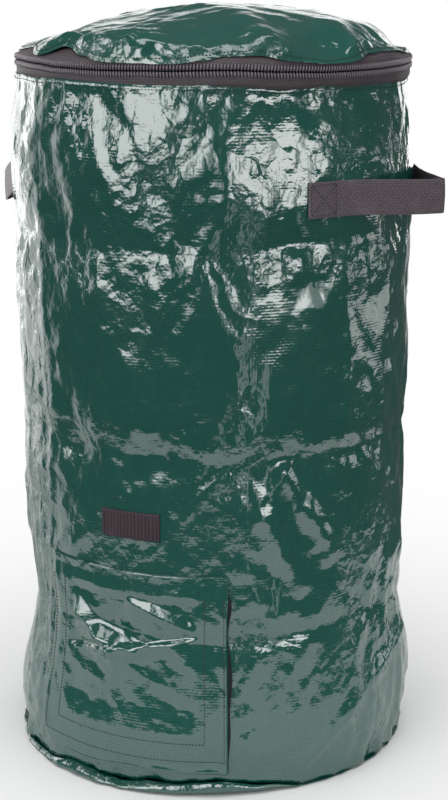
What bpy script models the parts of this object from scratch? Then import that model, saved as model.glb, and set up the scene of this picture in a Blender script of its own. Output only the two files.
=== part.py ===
"""Garden waste bag: a round sack of woven film with a zipped lid and a harvest flap.

The bag stands on the plane z = 0 with its own axis on Z. The harvest flap is at the
front, which is -Y, one carrying handle is on each side, +X and -X, and the lid hinges
at the back, +Y. An angle round the bag is counted in degrees from the front towards +X.
Every piece that lies on the wall follows the wall's own facets, a small gap off them.
"""
import math

import bmesh
import bpy
import numpy as np
from mathutils import Vector

FACETS = 60
FACET = 360.0 / FACETS
GAP = 0.0003

BASE_SEAM_HEIGHT = 0.0115
BASE_SEAM_RADIUS = 0.2325
BULGE_HEIGHT = 0.055
BULGE_RADIUS = 0.2370
WAIST_HEIGHT = 0.165
WAIST_RADIUS = 0.2222
BELLY_HEIGHT = 0.450
BELLY_RADIUS = 0.2272
SHOULDER_HEIGHT = 0.710
SHOULDER_RADIUS = 0.2303
RIM_HEIGHT = 0.7875
RIM_RADIUS = 0.2240
FILM_THICKNESS = 0.0010

BASE_FLAT_RADIUS = 0.2035
BINDING_WIDTH = 0.014
BINDING_THICKNESS = 0.0010
SEAM_ALLOWANCE_WIDTH = 0.018
THREAD_WIDTH = 0.0010
THREAD_THICKNESS = 0.0004

TAPE_THICKNESS = 0.0008
TAPE_SEWN = 0.010
TAPE_SHOWN = 0.0084
COIL_WIDTH = 0.0059
COIL_THICKNESS = 0.0019
COIL_PARTING = 0.0016
ZIP_HALF_ANGLE = 156.0
STOP_LENGTH = 0.003
STOP_FROM_TAPE_END = 0.003
LEAF_GAP = 0.0012

LID_RISE = 0.0515
LID_ROUNDNESS = 2.6
LID_INSET = 0.0005
LID_EDGE_CLEARANCE = 0.0019
LID_RING_SHARES = (0.0, 0.18, 0.36, 0.50, 0.63, 0.75, 0.85, 0.93, 1.0)
LID_TAPE_REACH = 0.010
LID_STITCH_INSET = 0.005
LID_HINGE_OFFSET = 0.0028

FLAP_WIDTH = 0.236
FLAP_BOTTOM = 0.031
FLAP_TOP = 0.257
FLAP_THICKNESS = 0.0010
FLAP_HEM = 0.011
FLAP_SIDE_HEM = 0.003
FLAP_FOLD_HEIGHT = 0.011
FLAP_EASE_HEIGHT = 0.014
FOLD_THICKNESS = 0.0005
GRIP_TAPE_WIDTH = 0.025
GRIP_TAPE_THICKNESS = 0.0012
STITCH_INSET = 0.0015
OPENING_MARGIN = 0.005

PATCH_WIDTH = 0.071
PATCH_HEIGHT = 0.031
PATCH_RISE = 0.038
PATCH_OFFSET = 0.0065
PATCH_THICKNESS = 0.0015

WEBBING_WIDTH = 0.038
WEBBING_THICKNESS = 0.0016
HANDLE_HEIGHT = 0.6465
HANDLE_REACH = 0.155
HANDLE_TACK = 0.037
HANDLE_STANDOUT = 0.050
HANDLE_FOLD_RADIUS = 0.006
HANDLE_FOLD_STEPS = 4
BOX_STITCH_INSET = 0.003

SLIDER_ANGLE = 150.0
SLIDER_LENGTH = 0.011
SLIDER_PLATE = 0.0012
SLIDER_OUTER_HEIGHT = 0.0136
SLIDER_INNER_HEIGHT = 0.0096
SLIDER_OUTER_CLEARANCE = 0.0010
SLIDER_INNER_CLEARANCE = 0.0007
SLIDER_POST_THICKNESS = 0.0010
SLIDER_POST_LENGTH = 0.004
SLIDER_ROUNDING = 0.0004
BRIDGE_LENGTH = 0.0070
BRIDGE_HEIGHT = 0.0024
BRIDGE_THICKNESS = 0.0011
BRIDGE_GAP = 0.0018

PULL_THICKNESS = 0.0010
PULL_LENGTH = 0.0225
PULL_HEIGHT = 0.0090
PULL_BAR = 0.0010
PULL_WINDOW_LENGTH = 0.0047
PULL_WINDOW_HEIGHT = 0.0040
PULL_END_STEPS = 8

ZIP_BOTTOM = RIM_HEIGHT + TAPE_SHOWN
PARTING_BOTTOM = ZIP_BOTTOM + COIL_WIDTH
PARTING_TOP = PARTING_BOTTOM + COIL_PARTING
PARTING_HEIGHT = 0.5 * (PARTING_BOTTOM + PARTING_TOP)
ZIP_TOP = PARTING_TOP + COIL_WIDTH
LID_RADIUS = RIM_RADIUS - LID_INSET
LID_EDGE_HEIGHT = ZIP_TOP + LID_EDGE_CLEARANCE
TAPE_RADIUS = RIM_RADIUS - FILM_THICKNESS - GAP
COIL_RADIUS = TAPE_RADIUS + GAP
COIL_OUTER_RADIUS = COIL_RADIUS + COIL_THICKNESS
SLIDER_FACE_RADIUS = COIL_OUTER_RADIUS + SLIDER_OUTER_CLEARANCE + SLIDER_PLATE
PULL_AXIS_RADIUS = SLIDER_FACE_RADIUS + 0.5 * BRIDGE_GAP
LOOP_LIFT = GAP
HOOK_LIFT = LOOP_LIFT + GRIP_TAPE_THICKNESS + GAP
FLAP_LIFT = HOOK_LIFT + GRIP_TAPE_THICKNESS + GAP
FLAP_TOP_LIFT = GAP + FOLD_THICKNESS + GAP


def linear(red, green, blue):
    """Turn a display colour of 0 to 255 a channel into the linear one that shaders use."""
    shares = [channel / 255.0 for channel in (red, green, blue)]
    return tuple(s / 12.92 if s <= 0.04045 else ((s + 0.055) / 1.055) ** 2.4 for s in shares)


def make_material(name, colour, roughness, metallic=0.0):
    """A Principled material with one colour."""
    material = bpy.data.materials.new(name)
    material.use_nodes = True
    shader = material.node_tree.nodes["Principled BSDF"]
    shader.inputs["Base Color"].default_value = (*colour, 1.0)
    shader.inputs["Roughness"].default_value = roughness
    shader.inputs["Metallic"].default_value = metallic
    material.diffuse_color = (*colour, 1.0)
    return material


def wall_stations():
    """Heights and corner radii of the wall's rings, eased between its named stations."""
    spans = (
        (BASE_SEAM_HEIGHT, BASE_SEAM_RADIUS, BULGE_HEIGHT, BULGE_RADIUS, 2),
        (BULGE_HEIGHT, BULGE_RADIUS, WAIST_HEIGHT, WAIST_RADIUS, 4),
        (WAIST_HEIGHT, WAIST_RADIUS, BELLY_HEIGHT, BELLY_RADIUS, 3),
        (BELLY_HEIGHT, BELLY_RADIUS, SHOULDER_HEIGHT, SHOULDER_RADIUS, 2),
        (SHOULDER_HEIGHT, SHOULDER_RADIUS, RIM_HEIGHT, RIM_RADIUS, 3),
    )
    heights = [BASE_SEAM_HEIGHT]
    radii = [BASE_SEAM_RADIUS]
    for low, low_radius, high, high_radius, steps in spans:
        for step in range(1, steps + 1):
            share = step / steps
            ease = 0.5 - 0.5 * math.cos(math.pi * share)
            heights.append(low + (high - low) * share)
            radii.append(low_radius + (high_radius - low_radius) * ease)
    return heights, radii


WALL_HEIGHTS, WALL_RADII = wall_stations()


def wall_radius(height):
    """Corner radius of the faceted wall's outside at a height."""
    return float(np.interp(height, WALL_HEIGHTS, WALL_RADII))


def lifted(height, lift):
    """Corner radius of a surface that stands a lift off the wall's facets."""
    return wall_radius(height) + lift / math.cos(math.radians(0.5 * FACET))


def lid_height(radius):
    """Height of the lid's outside at a radius: a dome that steepens towards its edge."""
    return LID_EDGE_HEIGHT + LID_RISE * (1.0 - (radius / LID_RADIUS) ** LID_ROUNDNESS)


LID_RADII = [share * LID_RADIUS for share in LID_RING_SHARES]
LID_HEIGHTS = [lid_height(radius) for radius in LID_RADII]


def lid_point(radius, depth):
    """A point the given depth inside the lid's faceted outside, as radius and height."""
    step = 0.001
    low = float(np.interp(radius - step, LID_RADII, LID_HEIGHTS))
    here = float(np.interp(radius, LID_RADII, LID_HEIGHTS))
    slope = (low - here) / step
    return radius, here - depth * math.hypot(1.0, slope)


def turn(arc, radius):
    """The angle in degrees that an arc of this length takes at this radius."""
    return math.degrees(arc / radius)


def ring_point(angle, radius, height):
    """A point on a faceted ring whose corners have this radius."""
    middle = (math.floor(angle / FACET) + 0.5) * FACET
    flat = radius * math.cos(math.radians(0.5 * FACET))
    reach = flat / math.cos(math.radians(angle - middle))
    turned = math.radians(angle)
    return Vector((reach * math.sin(turned), -reach * math.cos(turned), height))


def breaks(marks, grid, least):
    """The marks in order, with every grid value between them that isn't too near one."""
    ends = sorted(marks)
    inside = [g for g in grid if ends[0] < g < ends[-1] and min(abs(g - e) for e in ends) > least]
    return sorted(ends + inside)


def angle_breaks(*marks):
    """Angles of a sheet's columns: its own marks and the wall's corners between them."""
    corners = [FACET * index for index in range(-FACETS, FACETS + 1)]
    return breaks(marks, corners, 0.3)


def wall_rows(lift, *marks):
    """Rows of a sheet on the wall, bottom to top: its own marks and the wall's rings."""
    heights = breaks(marks, WALL_HEIGHTS, 0.002)
    if not callable(lift):
        return [(lifted(height, lift), height) for height in heights]
    return [(lifted(height, lift(height)), height) for height in heights]


def add_object(name, mesh, material, collection):
    """Put a mesh into the collection under its own name and material."""
    mesh.name = name
    item = bpy.data.objects.new(name, mesh)
    collection.objects.link(item)
    if material is not None:
        mesh.materials.append(material)
    return item


def smooth(mesh):
    """Shade round pieces smooth and keep their real edges sharp."""
    mesh.shade_smooth()
    mesh.set_sharp_from_angle(angle=math.radians(30.0))


def thicken(item, thickness, side):
    """Give an open surface its thickness: side 1 grows it outwards and -1 inwards."""
    solid = item.modifiers.new("thickness", "SOLIDIFY")
    solid.thickness = thickness
    solid.offset = side
    solid.use_even_offset = True


def grid_sheet(name, columns, rows, place, thickness, side, material, collection, keep=None):
    """A sheet with a corner at every column and row, placed by a function of the two.

    keep, when given, says from a cell's middle column and row values which cells stay.
    """
    mesh = bpy.data.meshes.new(name)
    grid = bmesh.new()
    across = len(columns) - 1
    up = len(rows) - 1
    bmesh.ops.create_grid(grid, x_segments=across, y_segments=up, size=1.0)
    if keep is not None:
        dropped = []
        for face in grid.faces:
            middle = face.calc_center_median()
            column = int((middle.x + 1.0) / 2.0 * across)
            row = int((middle.y + 1.0) / 2.0 * up)
            angle = 0.5 * (columns[column] + columns[column + 1])
            height = 0.5 * (rows[row][1] + rows[row + 1][1])
            if not keep(angle, height):
                dropped.append(face)
        bmesh.ops.delete(grid, geom=dropped, context="FACES")
    for corner in grid.verts:
        column = round((corner.co.x + 1.0) / 2.0 * across)
        row = round((corner.co.y + 1.0) / 2.0 * up)
        corner.co = place(columns[column], rows[row])
    grid.to_mesh(mesh)
    grid.free()
    smooth(mesh)
    item = add_object(name, mesh, material, collection)
    thicken(item, thickness, side)
    return item


def wrapped(name, angles, rows, thickness, side, material, collection, keep=None):
    """A sheet wrapped round the bag: rows are pairs of corner radius and height."""
    def place(angle, row):
        return ring_point(angle, row[0], row[1])
    return grid_sheet(name, angles, rows, place, thickness, side, material, collection, keep)


def turned(name, profile, thickness, side, material, collection):
    """A full ring turned from an open profile that runs down its outer side."""
    mesh = bpy.data.meshes.new(name)
    line = bmesh.new()
    corners = [line.verts.new((radius, 0.0, height)) for radius, height in profile]
    for first, second in zip(corners, corners[1:]):
        line.edges.new((first, second))
    line.to_mesh(mesh)
    line.free()
    item = add_object(name, mesh, material, collection)
    screw = item.modifiers.new("turn", "SCREW")
    screw.axis = "Z"
    screw.angle = math.tau
    screw.steps = FACETS
    screw.render_steps = FACETS
    screw.use_merge_vertices = True
    screw.merge_threshold = 0.0001
    screw.use_smooth_shade = True
    thicken(item, thickness, side)
    return item


def box(name, low, high, material, collection, rounding=0.0):
    """A block between two corners, with its edges rounded if asked."""
    bpy.ops.mesh.primitive_cube_add(size=1.0)
    item = bpy.context.object
    item.name = name
    size = [b - a for a, b in zip(low, high)]
    centre = [0.5 * (a + b) for a, b in zip(low, high)]
    for corner in item.data.vertices:
        corner.co = [c + s * x for c, s, x in zip(centre, size, corner.co)]
    for home in list(item.users_collection):
        home.objects.unlink(item)
    collection.objects.link(item)
    if material is not None:
        item.data.materials.append(material)
    if rounding > 0.0:
        bevel = item.modifiers.new("rounding", "BEVEL")
        bevel.width = rounding
        bevel.segments = 2
    return item


def as_cutter(item):
    """Mark a helper solid: it shapes other pieces and isn't one itself."""
    item.hide_render = True
    item.display_type = "WIRE"
    return item


def combine(item, tool, operation):
    """Join a helper solid to a piece, or cut it out of the piece."""
    change = item.modifiers.new(operation.lower(), "BOOLEAN")
    change.operation = operation
    change.solver = "EXACT"
    change.object = as_cutter(tool)


def wall_panel(parts, cutters, film):
    """The wall: one panel of film wrapped into a tube, with the harvest opening cut out."""
    profile = [(wall_radius(height), height) for height in reversed(WALL_HEIGHTS)]
    wall = turned("wall_panel", profile, FILM_THICKNESS, -1.0, film, parts)
    half = opening_half_width()
    low = (-half, -1.5 * BULGE_RADIUS, opening_bottom())
    high = (half, -0.5 * BULGE_RADIUS, opening_top())
    combine(wall, box("harvest_opening", low, high, None, cutters), "DIFFERENCE")


def flap_half_angle():
    """Half the flap's turn round the bag."""
    return turn(0.5 * FLAP_WIDTH, BELLY_RADIUS)


def side_tape_angles():
    """Outer and inner angle of the grip tape along the flap's right side."""
    outer = flap_half_angle() - turn(FLAP_SIDE_HEM, BELLY_RADIUS)
    return outer, outer - turn(GRIP_TAPE_WIDTH, BELLY_RADIUS)


def grip_bottom():
    """Lower edge of the grip tapes."""
    return FLAP_BOTTOM + FLAP_HEM


def grip_top():
    """Upper ends of the side grip tapes, below where the flap eases in to its fold."""
    return FLAP_TOP - FLAP_FOLD_HEIGHT - FLAP_EASE_HEIGHT


def opening_half_width():
    """Half the width of the harvest opening, between the side grip tapes."""
    inner = side_tape_angles()[1] - turn(OPENING_MARGIN, BELLY_RADIUS)
    return WAIST_RADIUS * math.sin(math.radians(inner))


def opening_bottom():
    """Lower edge of the harvest opening, above the bottom grip tape."""
    return grip_bottom() + GRIP_TAPE_WIDTH + OPENING_MARGIN


def opening_top():
    """Upper edge of the harvest opening, below the flap's sewn fold."""
    return FLAP_TOP - FLAP_FOLD_HEIGHT - OPENING_MARGIN


def wall_seams(parts, film, thread, binding):
    """The wall's own side seam and its seam to the base, both turned to the inside."""
    inside = -(FILM_THICKNESS + GAP)
    half = 0.5 * turn(SEAM_ALLOWANCE_WIDTH, BELLY_RADIUS)
    bottom = BASE_SEAM_HEIGHT + BINDING_WIDTH + 0.003
    top = RIM_HEIGHT - TAPE_SEWN - 0.003
    rows = wall_rows(inside, bottom, top)
    angles = angle_breaks(180.0 - half, 180.0 + half)
    wrapped("side_seam_allowance", angles, rows, FILM_THICKNESS, -1.0, film, parts)

    line = 0.5 * turn(THREAD_WIDTH, BELLY_RADIUS)
    rows = wall_rows(inside - FILM_THICKNESS - GAP, bottom + 0.002, top - 0.002)
    angles = angle_breaks(180.0 - line, 180.0 + line)
    wrapped("side_seam_stitching", angles, rows, THREAD_THICKNESS, -1.0, thread, parts)

    low = BASE_SEAM_HEIGHT
    high = BASE_SEAM_HEIGHT + BINDING_WIDTH
    profile = [(radius, height) for radius, height in reversed(wall_rows(inside, low, high))]
    turned("base_seam_binding", profile, BINDING_THICKNESS, -1.0, binding, parts)

    middle = 0.5 * (low + high)
    depth = inside - BINDING_THICKNESS - GAP
    rows = wall_rows(depth, middle - 0.5 * THREAD_WIDTH, middle + 0.5 * THREAD_WIDTH)
    profile = [(radius, height) for radius, height in reversed(rows)]
    turned("base_seam_stitching", profile, THREAD_THICKNESS, -1.0, thread, parts)


def base_panel(parts, film):
    """The round base: flat on the ground, its edge rounded up to meet the wall."""
    steps = 4
    rim_height = BASE_SEAM_HEIGHT - FILM_THICKNESS - GAP
    profile = []
    for step in range(steps + 1):
        angle = 0.5 * math.pi * step / steps
        radius = BASE_FLAT_RADIUS + (BASE_SEAM_RADIUS - BASE_FLAT_RADIUS) * math.cos(angle)
        profile.append((radius, rim_height * (1.0 - math.sin(angle))))
    profile.append((0.0, 0.0))
    turned("base_panel", profile, FILM_THICKNESS, -1.0, film, parts)


def upper_tape_rows():
    """Rows of what hangs from the lid's edge: upright at the zip, then in under the lid."""
    depth = FILM_THICKNESS + GAP
    bend = lid_point(TAPE_RADIUS, depth)
    inner = lid_point(TAPE_RADIUS - LID_TAPE_REACH, depth)
    return [(TAPE_RADIUS, PARTING_TOP), bend, inner]


def zip_tapes(parts, tape, coil, metal, thread):
    """The two zip tapes with their coils and end stops, and the seam on the wall."""
    around = angle_breaks(-ZIP_HALF_ANGLE, ZIP_HALF_ANGLE)
    lower = [(TAPE_RADIUS, RIM_HEIGHT - TAPE_SEWN), (TAPE_RADIUS, PARTING_BOTTOM)]
    wrapped("lower_zipper_tape", around, lower, TAPE_THICKNESS, -1.0, tape, parts)
    wrapped("upper_zipper_tape", around, upper_tape_rows(), TAPE_THICKNESS, -1.0, tape, parts)

    stop_end = ZIP_HALF_ANGLE - turn(STOP_FROM_TAPE_END, TAPE_RADIUS)
    stop_start = stop_end - turn(STOP_LENGTH, TAPE_RADIUS)
    coil_end = stop_start - turn(LEAF_GAP, TAPE_RADIUS)
    coil_angles = angle_breaks(-coil_end, coil_end)
    ends = (("left", -stop_end, -stop_start), ("right", stop_start, stop_end))
    for name, low, high in (
        ("lower_zipper", ZIP_BOTTOM, PARTING_BOTTOM),
        ("upper_zipper", PARTING_TOP, ZIP_TOP),
    ):
        rows = [(COIL_RADIUS, low), (COIL_RADIUS, high)]
        wrapped(f"{name}_coil", coil_angles, rows, COIL_THICKNESS, 1.0, coil, parts)
        for side, first, last in ends:
            angles = angle_breaks(first, last)
            wrapped(f"{name}_stop_{side}", angles, rows, COIL_THICKNESS, 1.0, metal, parts)

    seam = RIM_HEIGHT - 0.5 * TAPE_SEWN
    rows = wall_rows(GAP, seam - 0.5 * THREAD_WIDTH, seam + 0.5 * THREAD_WIDTH)
    turned("zipper_tape_stitching", list(reversed(rows)), THREAD_THICKNESS, 1.0, thread, parts)


def lid_hinge(parts, film):
    """The strip of film that carries the lid at the back, parted where it folds."""
    half = 180.0 - ZIP_HALF_ANGLE - turn(LEAF_GAP, TAPE_RADIUS)
    around = angle_breaks(180.0 - half, 180.0 + half)
    lower = [(TAPE_RADIUS, RIM_HEIGHT - TAPE_SEWN), (TAPE_RADIUS, PARTING_BOTTOM)]
    wrapped("lid_hinge_lower_leaf", around, lower, TAPE_THICKNESS, -1.0, film, parts)
    wrapped("lid_hinge_upper_leaf", around, upper_tape_rows(), TAPE_THICKNESS, -1.0, film, parts)


def lid(parts, film, thread):
    """The domed lid and the stitching round its edge."""
    profile = list(zip(LID_RADII, LID_HEIGHTS))
    turned("lid_panel", profile, FILM_THICKNESS, -1.0, film, parts)
    outer = LID_RADIUS - LID_STITCH_INSET
    line = [lid_point(outer - THREAD_WIDTH, -GAP), lid_point(outer, -GAP)]
    turned("lid_stitching", line, THREAD_THICKNESS, 1.0, thread, parts)


def flap_lift(height):
    """How far the flap stands off the wall: over its tapes, then in to its sewn fold."""
    fold = FLAP_TOP - FLAP_FOLD_HEIGHT
    start = fold - FLAP_EASE_HEIGHT
    return float(np.interp(height, (start, fold), (FLAP_LIFT, FLAP_TOP_LIFT)))


def harvest_flap(parts, film, thread, hook):
    """The flap over the harvest opening, with the hook tapes and stitching it carries."""
    half = flap_half_angle()
    outer, inner = side_tape_angles()
    fold = FLAP_TOP - FLAP_FOLD_HEIGHT
    start = fold - FLAP_EASE_HEIGHT
    around = angle_breaks(-half, half)
    rows = wall_rows(flap_lift, FLAP_BOTTOM, start, fold, FLAP_TOP)
    wrapped("harvest_flap", around, rows, FLAP_THICKNESS, 1.0, film, parts)

    grip_tapes("hook_tape", HOOK_LIFT, hook, parts)

    thread_turn = turn(THREAD_WIDTH, BELLY_RADIUS)
    inset = turn(STITCH_INSET, BELLY_RADIUS)
    seams = (
        ("flap_outer_stitching", outer - inset, grip_bottom() + STITCH_INSET),
        ("flap_inner_stitching", inner + inset + thread_turn,
         grip_bottom() + GRIP_TAPE_WIDTH - STITCH_INSET - THREAD_WIDTH),
    )
    for name, reach, bottom in seams:
        angles = angle_breaks(-reach, thread_turn - reach, reach - thread_turn, reach)
        rows = wall_rows(FLAP_LIFT + FLAP_THICKNESS + GAP, bottom, bottom + THREAD_WIDTH, grip_top())
        edge = reach - thread_turn
        top = bottom + THREAD_WIDTH
        wrapped(
            name, angles, rows, THREAD_THICKNESS, 1.0, thread, parts,
            keep=lambda angle, height: abs(angle) > edge or height < top,
        )


def grip_tapes(name, lift, material, parts):
    """A left, a right and a bottom length of grip tape round the harvest opening."""
    outer, inner = side_tape_angles()
    low = grip_bottom()
    rows = wall_rows(lift, low, grip_top())
    for side, start, end in (("right", inner, outer), ("left", -outer, -inner)):
        angles = angle_breaks(start, end)
        wrapped(f"{name}_{side}", angles, rows, GRIP_TAPE_THICKNESS, 1.0, material, parts)
    reach = inner - turn(LEAF_GAP, BELLY_RADIUS)
    rows = wall_rows(lift, low, low + GRIP_TAPE_WIDTH)
    angles = angle_breaks(-reach, reach)
    wrapped(f"{name}_bottom", angles, rows, GRIP_TAPE_THICKNESS, 1.0, material, parts)


def flap_seat(parts, film, thread, loop):
    """What the wall carries for the flap: the sewn fold, its seam and the loop tapes."""
    half = flap_half_angle()
    low = FLAP_TOP - FLAP_FOLD_HEIGHT
    rows = wall_rows(GAP, low, FLAP_TOP - GAP)
    wrapped("flap_seam_fold", angle_breaks(-half, half), rows, FOLD_THICKNESS, 1.0, film, parts)

    seam = low + 0.5 * FLAP_FOLD_HEIGHT
    inside = -(FILM_THICKNESS + GAP)
    reach = half - turn(FLAP_SIDE_HEM, BELLY_RADIUS)
    rows = wall_rows(inside, seam - 0.5 * THREAD_WIDTH, seam + 0.5 * THREAD_WIDTH)
    angles = angle_breaks(-reach, reach)
    wrapped("flap_seam_stitching", angles, rows, THREAD_THICKNESS, -1.0, thread, parts)

    grip_tapes("loop_tape", LOOP_LIFT, loop, parts)


def stitched_frame(name, angles, heights, lift, material, parts):
    """A rectangle of stitching on the wall: a thread's width of frame round nothing."""
    radius = wall_radius(heights[0])
    line = turn(THREAD_WIDTH, radius)
    left, right = angles
    low, high = heights
    columns = angle_breaks(left, left + line, right - line, right)
    rows = wall_rows(lift, low, low + THREAD_WIDTH, high - THREAD_WIDTH, high)

    def on_frame(angle, height):
        inside_across = left + line < angle < right - line
        inside_up = low + THREAD_WIDTH < height < high - THREAD_WIDTH
        return not (inside_across and inside_up)

    return wrapped(name, columns, rows, THREAD_THICKNESS, 1.0, material, parts, keep=on_frame)


def holder_patch(parts, hook, thread):
    """The patch above the flap that holds the flap when it is rolled up."""
    low = FLAP_TOP + PATCH_RISE
    high = low + PATCH_HEIGHT
    radius = wall_radius(low)
    left = turn(PATCH_OFFSET - 0.5 * PATCH_WIDTH, radius)
    right = turn(PATCH_OFFSET + 0.5 * PATCH_WIDTH, radius)
    rows = wall_rows(GAP, low, high)
    wrapped("flap_holder_patch", angle_breaks(left, right), rows, PATCH_THICKNESS, 1.0, hook, parts)
    inset = turn(STITCH_INSET, radius)
    lift = GAP + PATCH_THICKNESS + GAP
    stitched_frame(
        "holder_patch_stitching", (left + inset, right - inset),
        (low + STITCH_INSET, high - STITCH_INSET), lift, thread, parts,
    )


def handle_path():
    """Columns of the right handle, front to back: sewn ends as angles, the loop as points."""
    radius = wall_radius(HANDLE_HEIGHT)
    start = 90.0 - turn(HANDLE_REACH, radius)
    end = start + turn(HANDLE_TACK, radius)
    front = angle_breaks(start, end)
    tack_end = ring_point(end, lifted(HANDLE_HEIGHT, GAP), 0.0)
    centre = radius + HANDLE_STANDOUT - HANDLE_FOLD_RADIUS
    across = tack_end.x - centre
    distance = math.hypot(across, tack_end.y)
    towards = math.atan2(tack_end.y, across)
    tangent = towards + math.acos(HANDLE_FOLD_RADIUS / distance)
    fold = []
    for step in range(HANDLE_FOLD_STEPS + 1):
        angle = tangent * (1.0 - 2.0 * step / HANDLE_FOLD_STEPS)
        x = centre + HANDLE_FOLD_RADIUS * math.cos(angle)
        fold.append((x, HANDLE_FOLD_RADIUS * math.sin(angle)))
    rear = [180.0 - angle for angle in reversed(front)]
    return front + fold + rear, (start, end)


def handles(parts, webbing, thread):
    """A webbing loop on each side, each end tacked to the wall with a box of stitching."""
    columns, (start, end) = handle_path()
    low = HANDLE_HEIGHT
    high = low + WEBBING_WIDTH

    def place(column, row):
        if isinstance(column, tuple):
            return Vector((column[0], column[1], row[1]))
        return ring_point(column, row[0], row[1])

    rows = wall_rows(GAP, low, high)
    right = grid_sheet(
        "right_handle", columns, rows, place, WEBBING_THICKNESS, 1.0, webbing, parts
    )
    half_turn(right, "left_handle", parts)

    inset = turn(BOX_STITCH_INSET, wall_radius(low))
    heights = (low + BOX_STITCH_INSET, high - BOX_STITCH_INSET)
    lift = GAP + WEBBING_THICKNESS + GAP
    for end_name, angles, opposite in (
        ("front", (start + inset, end - inset), "rear"),
        ("rear", (180.0 - end + inset, 180.0 - start - inset), "front"),
    ):
        box_stitch = stitched_frame(
            f"right_handle_{end_name}_stitching", angles, heights, lift, thread, parts
        )
        half_turn(box_stitch, f"left_handle_{opposite}_stitching", parts)


def half_turn(item, name, collection):
    """The same piece on the other side of the bag, half a turn round its axis."""
    copy = item.copy()
    copy.name = name
    copy.rotation_euler.z = math.pi
    collection.objects.link(copy)
    return copy


def zipper_slider(parts, cutters, metal):
    """The slider: a plate on each side of the coils, the post between and the bridge."""
    half = 0.5 * SLIDER_LENGTH
    outer_low = COIL_OUTER_RADIUS + SLIDER_OUTER_CLEARANCE
    inner_high = TAPE_RADIUS - TAPE_THICKNESS - SLIDER_INNER_CLEARANCE
    middle = PARTING_HEIGHT

    def block(name, across, radii, up, collection, material=None):
        low = (-across, -radii[1], middle - up)
        high = (across, -radii[0], middle + up)
        return box(name, low, high, material, collection, SLIDER_ROUNDING)

    slider = block(
        "zipper_slider", half, (outer_low, SLIDER_FACE_RADIUS),
        0.5 * SLIDER_OUTER_HEIGHT, parts, metal,
    )
    inner = block(
        "slider_inner_plate", half, (inner_high - SLIDER_PLATE, inner_high),
        0.5 * SLIDER_INNER_HEIGHT, cutters,
    )
    sunk = 0.5 * SLIDER_PLATE
    post_low = (-0.5 * SLIDER_POST_LENGTH, -(outer_low + sunk), middle - 0.5 * SLIDER_POST_THICKNESS)
    post_high = (0.5 * SLIDER_POST_LENGTH, -(inner_high - sunk), middle + 0.5 * SLIDER_POST_THICKNESS)
    post = box("slider_post", post_low, post_high, None, cutters)
    bridge_top = SLIDER_FACE_RADIUS + BRIDGE_GAP + BRIDGE_THICKNESS
    bridge_low = (-0.5 * BRIDGE_LENGTH, -bridge_top, middle - 0.5 * BRIDGE_HEIGHT)
    bridge_high = (0.5 * BRIDGE_LENGTH, -(SLIDER_FACE_RADIUS - sunk), middle + 0.5 * BRIDGE_HEIGHT)
    bridge = box("slider_bridge", bridge_low, bridge_high, None, cutters, SLIDER_ROUNDING)
    leg = 0.5 * BRIDGE_LENGTH - BRIDGE_THICKNESS
    gap_low = (-leg, -(SLIDER_FACE_RADIUS + BRIDGE_GAP), middle - BRIDGE_HEIGHT)
    gap_high = (leg, -SLIDER_FACE_RADIUS, middle + BRIDGE_HEIGHT)
    gap = box("slider_bridge_gap", gap_low, gap_high, None, cutters)
    for tool in (post, inner, bridge):
        combine(slider, tool, "UNION")
    combine(slider, gap, "DIFFERENCE")
    for item in (slider, inner, post, bridge, gap):
        item.rotation_euler.z = math.radians(SLIDER_ANGLE)


def zipper_pull(parts, metal):
    """The slider's pull: a tab with a window, its end bar lying under the bridge."""
    curve = bpy.data.curves.new("zipper_pull", "CURVE")
    curve.dimensions = "2D"
    curve.fill_mode = "BOTH"
    curve.extrude = 0.5 * PULL_THICKNESS
    half = 0.5 * PULL_HEIGHT
    start = -0.5 * PULL_BAR
    centre = PULL_LENGTH + start - half
    outline = [(start, -half)]
    for step in range(PULL_END_STEPS + 1):
        angle = math.pi * (step / PULL_END_STEPS - 0.5)
        outline.append((centre + half * math.cos(angle), half * math.sin(angle)))
    outline.append((start, half))
    window_start = 0.5 * PULL_BAR
    window_end = window_start + PULL_WINDOW_LENGTH
    window_half = 0.5 * PULL_WINDOW_HEIGHT
    window = [
        (window_start, -window_half),
        (window_end, -window_half),
        (window_end, window_half),
        (window_start, window_half),
    ]
    for points in (outline, window):
        spline = curve.splines.new("POLY")
        spline.points.add(len(points) - 1)
        for point, (x, y) in zip(spline.points, points):
            point.co = (x, y, 0.0, 1.0)
        spline.use_cyclic_u = True
    curve.materials.append(metal)
    pull = bpy.data.objects.new("zipper_pull", curve)
    parts.objects.link(pull)
    turned_by = math.radians(SLIDER_ANGLE)
    pull.location = (
        PULL_AXIS_RADIUS * math.sin(turned_by),
        -PULL_AXIS_RADIUS * math.cos(turned_by),
        PARTING_HEIGHT,
    )
    pull.rotation_euler = (math.radians(90.0), 0.0, turned_by)


def hinge_axis_markers(parts):
    """Empties on the two cloth hinges, with what swings on each as its children."""
    hinges = (
        ("lid_axis", (0.0, RIM_RADIUS + LID_HINGE_OFFSET, PARTING_HEIGHT), (
            "lid_panel", "lid_stitching", "upper_zipper_tape", "upper_zipper_coil",
            "upper_zipper_stop_left", "upper_zipper_stop_right", "lid_hinge_upper_leaf")),
        ("flap_axis", (0.0, -lifted(FLAP_TOP, FLAP_TOP_LIFT + 0.5 * FLAP_THICKNESS), FLAP_TOP), (
            "harvest_flap", "hook_tape_left", "hook_tape_right", "hook_tape_bottom",
            "flap_outer_stitching", "flap_inner_stitching")),
    )
    for name, place, children in hinges:
        marker = bpy.data.objects.new(name, None)
        marker.location = place
        marker.empty_display_size = 0.02
        parts.objects.link(marker)
        for child in children:
            item = bpy.data.objects[child]
            item.parent = marker
            item.location = [-value for value in place]
        print(name, [round(value, 5) for value in place])


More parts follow.
